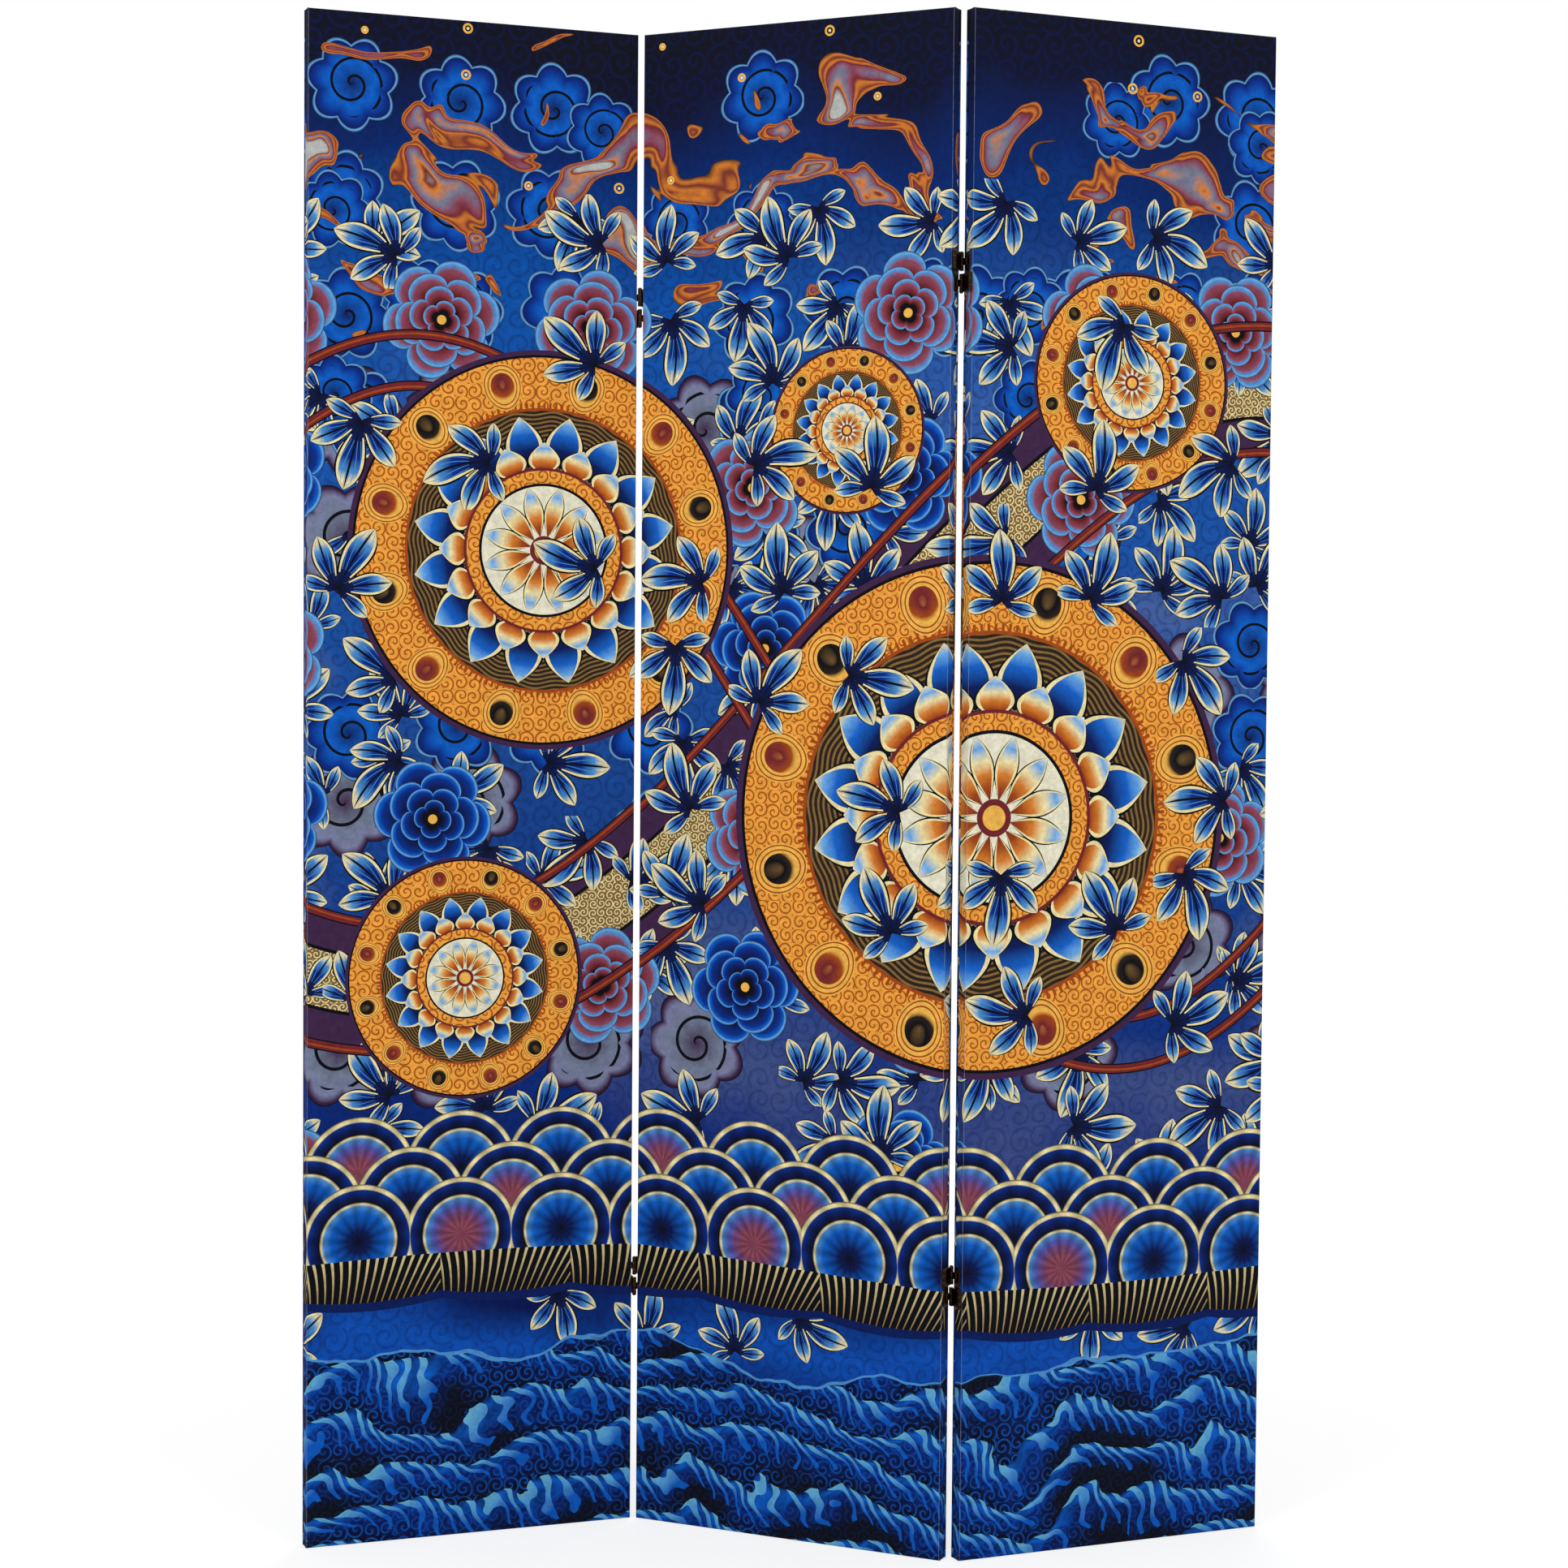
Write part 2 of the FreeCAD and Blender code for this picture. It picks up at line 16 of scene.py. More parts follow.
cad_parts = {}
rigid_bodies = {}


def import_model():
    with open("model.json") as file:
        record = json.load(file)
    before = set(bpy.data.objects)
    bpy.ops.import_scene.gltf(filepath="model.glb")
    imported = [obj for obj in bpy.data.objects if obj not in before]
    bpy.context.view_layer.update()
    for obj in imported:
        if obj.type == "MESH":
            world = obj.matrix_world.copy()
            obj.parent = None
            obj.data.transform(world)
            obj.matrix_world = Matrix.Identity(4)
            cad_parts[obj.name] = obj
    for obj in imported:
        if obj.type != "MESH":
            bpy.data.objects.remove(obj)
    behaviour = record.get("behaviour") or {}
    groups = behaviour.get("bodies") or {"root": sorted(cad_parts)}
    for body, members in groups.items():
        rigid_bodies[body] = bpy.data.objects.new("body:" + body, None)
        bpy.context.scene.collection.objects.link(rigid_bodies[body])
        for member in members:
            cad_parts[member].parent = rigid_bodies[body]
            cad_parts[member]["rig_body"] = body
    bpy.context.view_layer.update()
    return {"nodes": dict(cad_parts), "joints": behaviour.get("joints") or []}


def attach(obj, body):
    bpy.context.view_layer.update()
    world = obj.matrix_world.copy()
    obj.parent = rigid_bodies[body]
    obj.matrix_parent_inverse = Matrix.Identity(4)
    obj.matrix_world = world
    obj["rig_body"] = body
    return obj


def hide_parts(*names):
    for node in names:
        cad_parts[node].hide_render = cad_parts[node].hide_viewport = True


# The screen's driving sizes
PANEL_WIDTH = 0.400
PANEL_HEIGHT = 1.800
CLOTH = 0.0006
FRAME_DEPTH = 0.020
PANEL_DEPTH = FRAME_DEPTH + 3 * CLOTH
EDGE_ROUND = 0.0015
LIP_WIDTH = 0.018
HEM_WIDTH = 0.005
HINGE_GAP = 0.0066
AXIS_STAND_OFF = 0.0006
PANEL_TURNS = {"left_panel": 20.0, "middle_panel": -24.5, "right_panel": 22.0}
PANELS = list(PANEL_TURNS)

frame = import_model()
nodes = frame["nodes"]


# Colours of the print and the finishes, as they look on a screen

def ink(red, green, blue):
    """A colour given as it looks, from 0 to 255, turned into the light that it stands for."""
    parts = [c / 255 for c in (red, green, blue)]
    return (*(c / 12.92 if c < 0.04045 else ((c + 0.055) / 1.055) ** 2.4 for c in parts), 1)


BLACK = ink(8, 9, 16)
NIGHT = ink(14, 15, 26)
NAVY = ink(8, 26, 82)
COBALT = ink(5, 44, 128)
AZURE = ink(10, 88, 184)
STEEL = ink(70, 132, 190)
SKY = ink(98, 158, 214)
FOAM = ink(116, 194, 214)
CREAM = ink(222, 208, 154)
IVORY = ink(216, 212, 188)
DOVE = ink(168, 170, 168)
SLATE = ink(104, 114, 136)
LILAC = ink(112, 116, 148)
GOLD = ink(222, 168, 74)
GILT = ink(222, 152, 60)
SIENNA = ink(160, 80, 24)
ORANGE = ink(200, 118, 44)
RUST = ink(150, 66, 22)
BRONZE = ink(122, 94, 52)
UMBER = ink(40, 30, 24)
ROSE = ink(130, 66, 84)
BURGUNDY = ink(104, 34, 40)
PLUM = ink(58, 34, 66)
# The canvas colour along its corners and ends: partly rubbed canvas, partly a painted highlight where
# the edge catches light.
WORN_AND_LIT_EDGE = ink(128, 138, 156)
ROSETTE_MIDDLES = [
    (0.285, 1.18, 0.23),
    (0.835, 0.87, 0.295),
    (1.01, 1.38, 0.125),
    (0.19, 0.67, 0.14),
    (0.67, 1.32, 0.095),
]


# Materials and repeated shapes are written as formulas over node outputs

class Field:
    """A node's output. Sums, products and tests on fields of values add Math nodes."""

    def __init__(self, wiring, socket):
        self.wiring = wiring
        self.socket = socket

    def maths(self, operation, *others, first=None):
        values = (self, *others) if first is None else (first, self)
        return self.wiring.add("ShaderNodeMath", {"operation": operation}, dict(enumerate(values)))

    def __add__(self, other):
        return self.maths("ADD", other)

    def __sub__(self, other):
        return self.maths("SUBTRACT", other)

    def __rsub__(self, other):
        return self.maths("SUBTRACT", first=other)

    def __mul__(self, other):
        return self.maths("MULTIPLY", other)

    def __truediv__(self, other):
        return self.maths("DIVIDE", other)

    def __lt__(self, other):
        return self.maths("LESS_THAN", other)

    def __gt__(self, other):
        return self.maths("GREATER_THAN", other)

    def __and__(self, other):
        return self.maths("MULTIPLY", other)

    def __or__(self, other):
        return self.maths("MAXIMUM", other)

    def __invert__(self):
        return 1 - self

    def __abs__(self):
        return self.maths("ABSOLUTE")

    __radd__ = __add__
    __rmul__ = __mul__

    def near(self, middle, reach):
        return self.maths("COMPARE", middle, reach)

    def at_least(self, other):
        return self.maths("MAXIMUM", other)

    def at_most(self, other):
        return self.maths("MINIMUM", other)

    def floor(self):
        return self.maths("FLOOR")

    def fract(self):
        return self.maths("FRACT")

    def sine(self):
        return self.maths("SINE")

    def cosine(self):
        return self.maths("COSINE")

    def power(self, exponent):
        return self.maths("POWER", exponent)


class Wiring:
    """A tree of nodes, built one node at a time."""

    def __init__(self, tree):
        self.tree = tree
        self.tree.nodes.clear()

    def add(self, kind, settings, sockets, output=0):
        """Adds a node: its settings first, then the values or links of its sockets."""
        made = self.tree.nodes.new(kind)
        for name, value in settings.items():
            if name == "stops":
                ramp = made.color_ramp
                while len(ramp.elements) < len(value):
                    ramp.elements.new(1)
                for element, (place, colour) in zip(ramp.elements, value):
                    element.position = place
                    element.color = colour
            else:
                setattr(made, name, value)
        for key, value in sockets.items():
            for one in value if isinstance(value, list) else [value]:
                if isinstance(one, Field):
                    self.tree.links.new(one.socket, made.inputs[key])
                else:
                    made.inputs[key].default_value = one
        return Field(self, made.outputs[output]) if made.outputs else None


class Recipe(Wiring):
    """The node tree of one material, or of the world."""

    def __init__(self, owner):
        owner.use_nodes = True
        self.owner = owner
        super().__init__(owner.node_tree)

    def node(self, kind, settings, sockets, output=0):
        return self.add("ShaderNode" + kind, settings, sockets, output)

    def over(self, below, above, mask):
        """One colour over another where the mask is 1."""
        sockets = {"Factor": mask, 6: below, 7: above}
        return self.node("Mix", {"data_type": "RGBA"}, sockets, 2)

    def shade(self, colour, amount):
        """A colour made darker or lighter by a factor that varies."""
        return self.node("VectorMath", {"operation": "SCALE"}, {0: colour, "Scale": amount})

    def ramp(self, value, stops):
        return self.node("ValToRGB", {"stops": stops}, {"Fac": value})

    def pair(self, x, y, z=0.0):
        return self.node("CombineXYZ", {}, {"X": x, "Y": y, "Z": z})

    def parts(self, vector):
        made = self.node("SeparateXYZ", {}, {"Vector": vector})
        return [Field(self, socket) for socket in made.socket.node.outputs]

    def noise(self, vector, scale, detail=2.0, flat=True, rough=0.5):
        dimensions = {"noise_dimensions": "2D" if flat else "3D"}
        sockets = {"Vector": vector, "Scale": scale, "Detail": detail, "Roughness": rough}
        return self.node("TexNoise", dimensions, sockets)

    def dice(self, vector):
        """Three random values that stay the same over each whole-numbered place."""
        made = self.node("TexWhiteNoise", {"noise_dimensions": "3D"}, {"Vector": vector}, 1)
        return self.parts(made)

    def polar(self, vector):
        """How far a point is from its motif's middle, and at what angle, in turns."""
        x, y = self.parts(vector)[:2]
        radius = self.node("VectorMath", {"operation": "LENGTH"}, {0: vector}, 1)
        return radius, y.maths("ARCTAN2", x) / math.tau

    def bump(self, height, strength, distance):
        return self.node("Bump", {}, {"Height": height, "Strength": strength, "Distance": distance})

    def looked_at(self):
        """1 for a ray that looks at a surface from the camera, or by way of metal or glass."""
        path = self.node("LightPath", {}, {}).socket.node.outputs
        kinds = ("Is Camera Ray", "Is Glossy Ray", "Is Transmission Ray")
        camera, glossy, transmission = (Field(self, path[kind]) for kind in kinds)
        return camera | glossy | transmission

    def finish(self, colour, **sockets):
        """The surface shader, from its colour and its other sockets by name."""
        named = {key.replace("_", " "): value for key, value in sockets.items()}
        shader = self.node("BsdfPrincipled", {}, {"Base Color": colour, **named})
        self.node("OutputMaterial", {}, {"Surface": shader})
        return self.owner


# The print's motifs. Each takes the colour below it and gives the colour with the motif laid on.

GROUND = [
    (0.0, ink(4, 18, 70)),
    (0.08, ink(4, 40, 112)),
    (0.125, ink(10, 74, 168)),
    (0.17, ink(3, 18, 74)),
    (0.30, ink(6, 40, 116)),
    (0.50, ink(22, 66, 136)),
    (0.70, ink(22, 78, 158)),
    (0.82, ink(8, 74, 154)),
    (0.90, ink(4, 36, 98)),
    (0.96, ink(12, 16, 42)),
    (1.0, NIGHT),
]
CLOUD_BLUE = [(0.0, NAVY), (0.5, AZURE), (0.8, COBALT), (0.92, NAVY), (0.95, SKY), (1.0, BLACK)]
CLOUD_GREY = [(0.0, PLUM), (0.5, SLATE), (0.8, LILAC), (0.93, PLUM), (1.0, BLACK)]
WISP = [
    (0.50, NIGHT),
    (0.51, ORANGE),
    (0.525, BURGUNDY),
    (0.545, ORANGE),
    (0.555, BURGUNDY),
    (0.57, ROSE),
    (0.60, SLATE),
    (0.63, ORANGE),
    (0.64, BURGUNDY),
    (0.67, DOVE),
]
LEAF = [(0.0, BLACK), (0.3, NAVY), (0.55, COBALT), (0.75, STEEL), (0.88, CREAM), (1.0, CREAM)]
ROSE_RED = [(0.5, BLACK), (0.66, BURGUNDY), (0.84, ROSE), (0.92, STEEL), (0.965, SKY), (1.0, BLACK)]
ROSE_BLUE = [(0.5, BLACK), (0.7, NAVY), (0.85, COBALT), (0.93, AZURE), (0.965, SKY), (1.0, BLACK)]
PETAL_BLUE = [(0.0, BLACK), (0.35, NAVY), (0.65, ink(20, 92, 186)), (0.85, SKY), (1.0, CREAM)]
PETAL_PALE = [(0.0, BURGUNDY), (0.2, RUST), (0.4, ORANGE), (0.6, CREAM), (0.8, SKY), (1.0, IVORY)]
BEAD_DARK = [(0.0, CREAM), (0.16, BRONZE), (0.5, BLACK), (0.8, UMBER), (1.0, GOLD)]
BEAD_RED = [(0.0, CREAM), (0.16, ORANGE), (0.4, BURGUNDY), (0.8, RUST), (1.0, GOLD)]
SCALE_BLUE = [
    (0.0, BLACK),
    (0.2, NAVY),
    (0.5, AZURE),
    (0.62, STEEL),
    (0.66, CREAM),
    (0.69, BLACK),
    (0.8, NAVY),
    (0.9, COBALT),
    (0.92, CREAM),
    (0.965, CREAM),
    (1.0, BLACK),
]
SWELL = [(0.0, BLACK), (0.3, NAVY), (0.7, COBALT), (0.9, AZURE), (1.0, NAVY)]


def between(low, high, chance):
    """How likely a motif is at a height: the chance from low to high, and never elsewhere."""
    return lambda height: height.near((low + high) / 2, (high - low) / 2) * chance


def ground(recipe, spot, v):
    """The painted ground, from deep water below through daylight blue to night at the top."""
    drift = recipe.noise(spot, 3.0, 3.0) - 0.5
    painted = recipe.ramp(v / PANEL_HEIGHT + drift * 0.14, GROUND)
    haze = (drift * 6).at_least(0.0) * (0.62 - abs(v - 0.95)).at_least(0.0)
    return recipe.over(painted, SLATE, haze)


def scatter(recipe, spot, pitch, seed, wander=0.18, stretch=1.0):
    """Cells over the cloth: the place in each from its middle, three dice and the cell's height."""
    scale = (1 / (pitch * stretch), 1 / pitch, 1.0)
    shift = (seed * 0.37, seed * 0.61, 0.0)
    scaled = recipe.node("VectorMath", {"operation": "MULTIPLY_ADD"}, {0: spot, 1: scale, 2: shift})
    cell = recipe.node("VectorMath", {"operation": "FLOOR"}, {0: scaled})
    seeded = recipe.node("VectorMath", {"operation": "ADD"}, {0: cell, 1: (0.0, 0.0, float(seed))})
    dice = recipe.dice(seeded)
    inside = recipe.node("VectorMath", {"operation": "SUBTRACT"}, {0: scaled, 1: cell})
    low = 0.5 - wander / 2
    middle = recipe.pair(dice[0] * wander + low, dice[1] * wander + low)
    local = recipe.node("VectorMath", {"operation": "SUBTRACT"}, {0: inside, 1: middle})
    row = recipe.parts(cell)[1]
    return local, dice, (row + 0.5 - seed * 0.61) * pitch


def curls(recipe, spot, pitch):
    """Small curls side by side, as lines of scrollwork."""
    local, dice = scatter(recipe, spot, pitch, 1, 0.25)[:2]
    radius, turn = recipe.polar(local)
    spin = (dice[2] > 0.5) * 2 - 1
    wound = (turn * spin + radius * 2.6 + dice[0]).fract()
    return wound.near(0.5, 0.16)


def clouds(recipe, below, spot, pitch, seed, chance, stops):
    """Round clouds with lobed edges, each with a curl wound inside it."""
    local, dice, height = scatter(recipe, spot, pitch, seed)
    radius, turn = recipe.polar(local)
    edge = abs((turn * (math.tau * 3.5) + dice[0] * 6).sine()) * 0.09 + 0.36
    share = radius / edge
    here = (share < 1) & (dice[2] < chance(height))
    fill = recipe.ramp(share, stops)
    below = recipe.over(below, fill, here)
    wound = (turn + radius * 6 + dice[1]).fract()
    line = wound.near(0.5, 0.08) & (share < 0.7) & here
    return recipe.over(below, stops[-1][1], line)


def wisps(recipe, below, spot, v, low, high):
    """Warm streaks of cloud in contoured layers, blown sideways across the night."""
    turning = {"Vector": spot, "Scale": 7.0, "Detail": 1.0}
    swirl = recipe.node("TexNoise", {"noise_dimensions": "2D"}, turning, 1)
    stretched = recipe.node("VectorMath", {"operation": "MULTIPLY"}, {0: spot, 1: (1.0, 2.4, 1.0)})
    sockets = {0: swirl, 1: (0.22, 0.5, 0.0), 2: stretched}
    blown = recipe.node("VectorMath", {"operation": "MULTIPLY_ADD"}, sockets)
    field = recipe.noise(blown, 8.0, 1.4) - abs(v - (low + high) / 2) * (0.5 / (high - low))
    return recipe.over(below, recipe.ramp(field, WISP), field > WISP[0][0])


def sprigs(recipe, below, spot, pitch, seed, chance, count=7):
    """Fans of five broad leaves, dark at the stem, with veins and cream tips."""
    local, dice, height = scatter(recipe, spot, pitch, seed, 0.12)
    settings = {"rotation_type": "Z_AXIS"}
    swung = recipe.node("VectorRotate", settings, {"Vector": local, "Angle": dice[2] * math.tau})
    base = recipe.node("VectorMath", {"operation": "ADD"}, {0: swung, 1: (0.28, 0.0, 0.0)})
    radius, turn = recipe.polar(base)
    fan = (turn + radius * (dice[1] - 0.5) * 0.2) * count + 0.5
    number = abs(fan.floor())
    along = radius / (0.64 - number * 0.14)
    taper = (1 - along * along * along).at_least(0.0).power(0.9)
    side = abs(fan.fract() - 0.5) * 2 / taper
    here = (side < 1) & (along < 1) & (number < 2.5) & (dice[0] < chance(height))
    leaf = recipe.ramp(along, LEAF)
    veined = recipe.over(leaf, STEEL, ((side * 3 - along * 1.6).fract() < 0.16) & (along > 0.3))
    rimmed = recipe.over(veined, CREAM, side.near(0.78, 0.09) & (along > 0.25))
    lined = recipe.over(rimmed, BLACK, (side > 0.87) | (side < 0.08))
    return recipe.over(below, lined, here)


def blossoms(recipe, below, spot, pitch, seed, chance):
    """Full round flowers of four rings of petals, some blue and some red at the heart."""
    local, dice, height = scatter(recipe, spot, pitch, seed, 0.16)
    radius, turn = recipe.polar(local)
    grows = dice[2] < chance(height)
    kind = dice[1] < 0.62
    for ring, (reach, petals) in enumerate(((0.36, 6), (0.285, 5), (0.20, 5), (0.115, 4))):
        wave = abs(((turn + dice[0]) * (petals * math.pi) + ring * 0.9).sine())
        share = radius / (wave.power(0.5) * (reach * 0.3) + reach * 0.7)
        petal = recipe.over(recipe.ramp(share, ROSE_BLUE), recipe.ramp(share, ROSE_RED), kind)
        below = recipe.over(below, petal, (share < 1) & grows)
    return recipe.over(below, GOLD, (radius < 0.028) & grows)


def ribbon(u, v, level, rise, wave, shift):
    """How far a point is from the middle of a band that swings across the whole screen."""
    angle = u * wave + shift
    slope = angle.cosine() * (rise * wave)
    steep = (slope * slope + 1).power(-0.5)
    return abs((v - level - angle.sine() * rise) * steep)


def rails(recipe, below, across, half):
    """A burgundy rail with dark edges on each side of a ribbon."""
    below = recipe.over(below, BLACK, across.near(half, 0.0062))
    below = recipe.over(below, BURGUNDY, across.near(half, 0.0046))
    return recipe.over(below, RUST, across.near(half + 0.001, 0.0012))


def petal_ring(recipe, below, radius, turn, count, start, end, stops):
    """Pointed petals side by side round a ring."""
    along = (radius - start) / (end - start)
    half = (along.power(0.75) * math.pi).sine() * 0.52
    side = abs((turn * count).fract() - 0.5) / half
    here = (side < 1) & along.near(0.5, 0.5)
    fill = recipe.ramp(along, stops)
    rim = recipe.over(fill, CREAM, side.near(0.8, 0.09))
    line = recipe.over(rim, BLACK, side > 0.89)
    return recipe.over(below, line, here)


def nearest_of(recipe, spot, middles):
    """The place in the nearest rosette, from its middle, as shares of its reach."""
    nearest = None
    for u, v, reach in middles:
        scale = (1 / reach,) * 3
        shift = (-u / reach, -v / reach, 0.0)
        sockets = {0: spot, 1: scale, 2: shift}
        local = recipe.node("VectorMath", {"operation": "MULTIPLY_ADD"}, sockets)
        away = recipe.node("VectorMath", {"operation": "LENGTH"}, {0: local}, 1)
        if nearest is None:
            nearest, closest = local, away
            continue
        mixed = {"Factor": away < closest, 4: nearest, 5: local}
        nearest = recipe.node("Mix", {"data_type": "VECTOR"}, mixed, 1)
        closest = away.at_most(closest)
    return nearest


def rosettes(recipe, below, spot, gilt, middles):
    """Round rosettes: a beaded gilt rim, a hatched ground with petals and a pale heart."""
    radius, turn = recipe.polar(nearest_of(recipe, spot, middles))
    hatch = (radius * 44 + (turn * (math.tau * 20)).sine() * 0.35).fract() < 0.42
    inner = recipe.over(UMBER, BRONZE, hatch)
    inner = petal_ring(recipe, inner, radius, turn, 16, 0.43, 0.70, PETAL_BLUE)
    inner = petal_ring(recipe, inner, radius, turn + 0.5 / 16, 16, 0.40, 0.56, PETAL_PALE)
    inner = recipe.over(inner, gilt, radius < 0.42)
    inner = recipe.over(inner, IVORY, radius < 0.34)
    inner = petal_ring(recipe, inner, radius, turn, 12, 0.07, 0.335, PETAL_PALE)
    inner = recipe.over(inner, BURGUNDY, radius < 0.075)
    inner = recipe.over(inner, GOLD, radius < 0.05)
    rim = recipe.over(gilt, RUST, (turn * 150).fract().near(0.5, 0.2) & (radius < 0.765))
    beads = turn * 12
    x = (beads.fract() - 0.5) * (math.tau * 0.865 / 12)
    y = radius - 0.865
    oval = ((x / 0.062) * (x / 0.062) + (y / 0.074) * (y / 0.074)).power(0.5)
    rim = recipe.over(rim, recipe.over(GOLD, RUST, (oval * 3.4).fract() < 0.3), oval < 1.65)
    lit = (oval * 0.5 + 0.28 - y * 4).at_least(0.0)
    red = (beads.floor() * 0.5).fract() > 0.25
    bead = recipe.over(recipe.ramp(lit, BEAD_DARK), recipe.ramp(lit, BEAD_RED), red)
    rim = recipe.over(rim, bead, oval < 1)
    inner = recipe.over(inner, rim, radius > 0.73)
    for line, reach, colour in ((0.34, 0.007, BLACK), (0.42, 0.007, BURGUNDY), (0.73, 0.007, RUST)):
        inner = recipe.over(inner, colour, radius.near(line, reach))
    below = recipe.over(below, PLUM, radius < 1.035)
    below = recipe.over(below, BLACK, radius < 1.01)
    return recipe.over(below, inner, radius < 0.997)


def scallops(recipe, below, u, v, levels, reach):
    """Rows of overlapping scallop waves, with a fringe of gold strokes under the lowest row."""
    low = levels[-1]
    sway = (u * 4.3 + 0.6).sine() * 0.014
    lift = v - sway
    column = (u / (reach * 2.6)).fract() - 0.5
    drop = (low - lift) / 0.075
    strokes = (column * 13 + drop * column * 6 + drop * drop * 1.5).fract().near(0.5, 0.2 - drop * 0.12)
    fringe = recipe.over(BLACK, recipe.over(CREAM, BRONZE, drop), strokes)
    edge = 1 - abs(column) * 0.7 * abs(column)
    below = recipe.over(below, NAVY, drop.near(0.5, edge * 0.62))
    below = recipe.over(below, fringe, drop.near(0.45, edge * 0.53))
    for row, level in enumerate(levels):
        place = u / (2 * reach) + 0.5 * (row % 2)
        x = (place.fract() - 0.5) * (2 * reach)
        y = lift - level
        share = (x * x + y * y).power(0.5) / (reach * 1.1)
        flute = (y.maths("ARCTAN2", x) * 14).sine() * 0.2 + 0.85
        red = (share < 0.62) & (((place.floor() + row) / 3 + 0.1).fract() < 0.3)
        fill = recipe.over(recipe.ramp(share, SCALE_BLUE), ROSE, red * (0.62 - share) * 2.6)
        fill = recipe.shade(fill, flute)
        below = recipe.over(below, fill, (share < 1) & (y > -0.35 * reach))
    return below


def water(recipe, below, spot, u, v):
    """The water at the foot: rows of combed crests over dark troughs."""
    stir = recipe.noise(spot, 6.0, 3.0) - 0.5
    level = v * 19 + stir * 2.6 + (u * 9 + v * 6).sine() * 0.35
    comb = level.fract()
    row = level.floor()
    stroke = (u * 46 + row * 0.37 + comb * comb * 1.5 + stir * 4).fract()
    crest = stroke.near(0.5, comb * 0.26) & (comb > 0.35)
    ripple = (u * 190 + (v * 420 + stir * 60).sine() * 1.6).sine() * 0.28 + 0.8
    fill = recipe.shade(recipe.ramp(comb, SWELL), ripple)
    fill = recipe.over(fill, ink(6, 78, 168), curls(recipe, spot, 0.019) * (0.75 - comb * 0.5))
    foamed = recipe.over(fill, recipe.over(AZURE, FOAM, (comb - 0.6) * 2), crest * 0.8)
    shore = (u * 17).sine() * 0.008 + (u * 6.1 + 1).sine() * 0.016 + stir * 0.08 + 0.215
    below = recipe.over(below, foamed, v < shore)
    below = recipe.over(below, STEEL, (v - shore).near(0.0, 0.0016))
    hollow = recipe.noise(spot, 5.2) - v * 0.4
    trough = ((0.85 - comb) * 1.8).at_least(0.0).at_most(1.0)
    deep = ((hollow - 0.42) * 8).at_least(0.0).at_most(1.0) * trough * 0.92
    return recipe.over(below, BLACK, deep & ~crest & (v < shore))


def stars(recipe, below, spot, pitch, seed, lowest):
    """Small gold rings and dots in the night at the top."""
    local, dice, height = scatter(recipe, spot, pitch, seed, 0.6)
    radius = recipe.node("VectorMath", {"operation": "LENGTH"}, {0: local}, 1)
    here = (height > lowest) & (dice[2] < 0.3)
    below = recipe.over(below, GOLD, radius.near(dice[0] * 0.03 + 0.035, 0.014) & here)
    return recipe.over(below, CREAM, (radius < 0.02) & here)


def weave(u, v, pitch):
    """The height of the cloth's plain weave."""
    side = (u / pitch).floor() + (v / pitch).floor()
    up = (side * 0.5).fract() > 0.25
    warp = abs((u * (math.pi / pitch)).sine())
    weft = abs((v * (math.pi / pitch)).sine())
    return warp * up + weft * ~up


THREAD_PITCH = 0.0011
# How the canvas is painted lighter along its corners and ends: partly rubbed canvas, partly a painted
# highlight where the edge catches light.
WORN_AND_LIT_EDGE_WIDTH = 0.0013
WORN_AND_LIT_EDGE_RAGGEDNESS = 0.0016
WORN_AND_LIT_EDGE_SHARE = 0.4
CLOTH_RELIEF = 0.00025
CLOTH_ROUGHNESS = 0.66
CLOTH_SHINE = 0.06


def printed_cloth(name, motifs):
    """Matte canvas with a print: motifs is a function that lays the whole print."""
    recipe = Recipe(bpy.data.materials.new(name))
    spot = recipe.node("UVMap", {"uv_map": "print"}, {})
    u, v = recipe.parts(spot)[:2]
    colour = motifs(recipe, spot, u, v)
    brush = recipe.noise(spot, 90.0, 4.0, rough=0.8)
    threads = weave(u, v, THREAD_PITCH)
    # The thread term darkens the colour where the weave dips at each thread's edges: painted shade in
    # the gaps of the weave. The brush term is random tone.
    colour = recipe.shade(colour, (brush * 0.85 + 0.53) * (threads * 0.14 + 0.9))
    # Lighter along the corners and ends: partly rubbed canvas, partly a painted highlight where the edge
    # catches light.
    corner = abs((u / PANEL_WIDTH + 0.5).fract() - 0.5) * PANEL_WIDTH
    ends = abs(v).at_most(abs(v - PANEL_HEIGHT))
    lightened_edges = (corner.at_most(ends) + brush * WORN_AND_LIT_EDGE_RAGGEDNESS) < WORN_AND_LIT_EDGE_WIDTH
    colour = recipe.over(colour, WORN_AND_LIT_EDGE, lightened_edges * WORN_AND_LIT_EDGE_SHARE)
    normal = recipe.bump(threads + brush, 0.4, CLOTH_RELIEF)
    rough = brush * 0.2 + CLOTH_ROUGHNESS
    return recipe.finish(colour, Roughness=rough, Normal=normal, Specular_IOR_Level=CLOTH_SHINE)


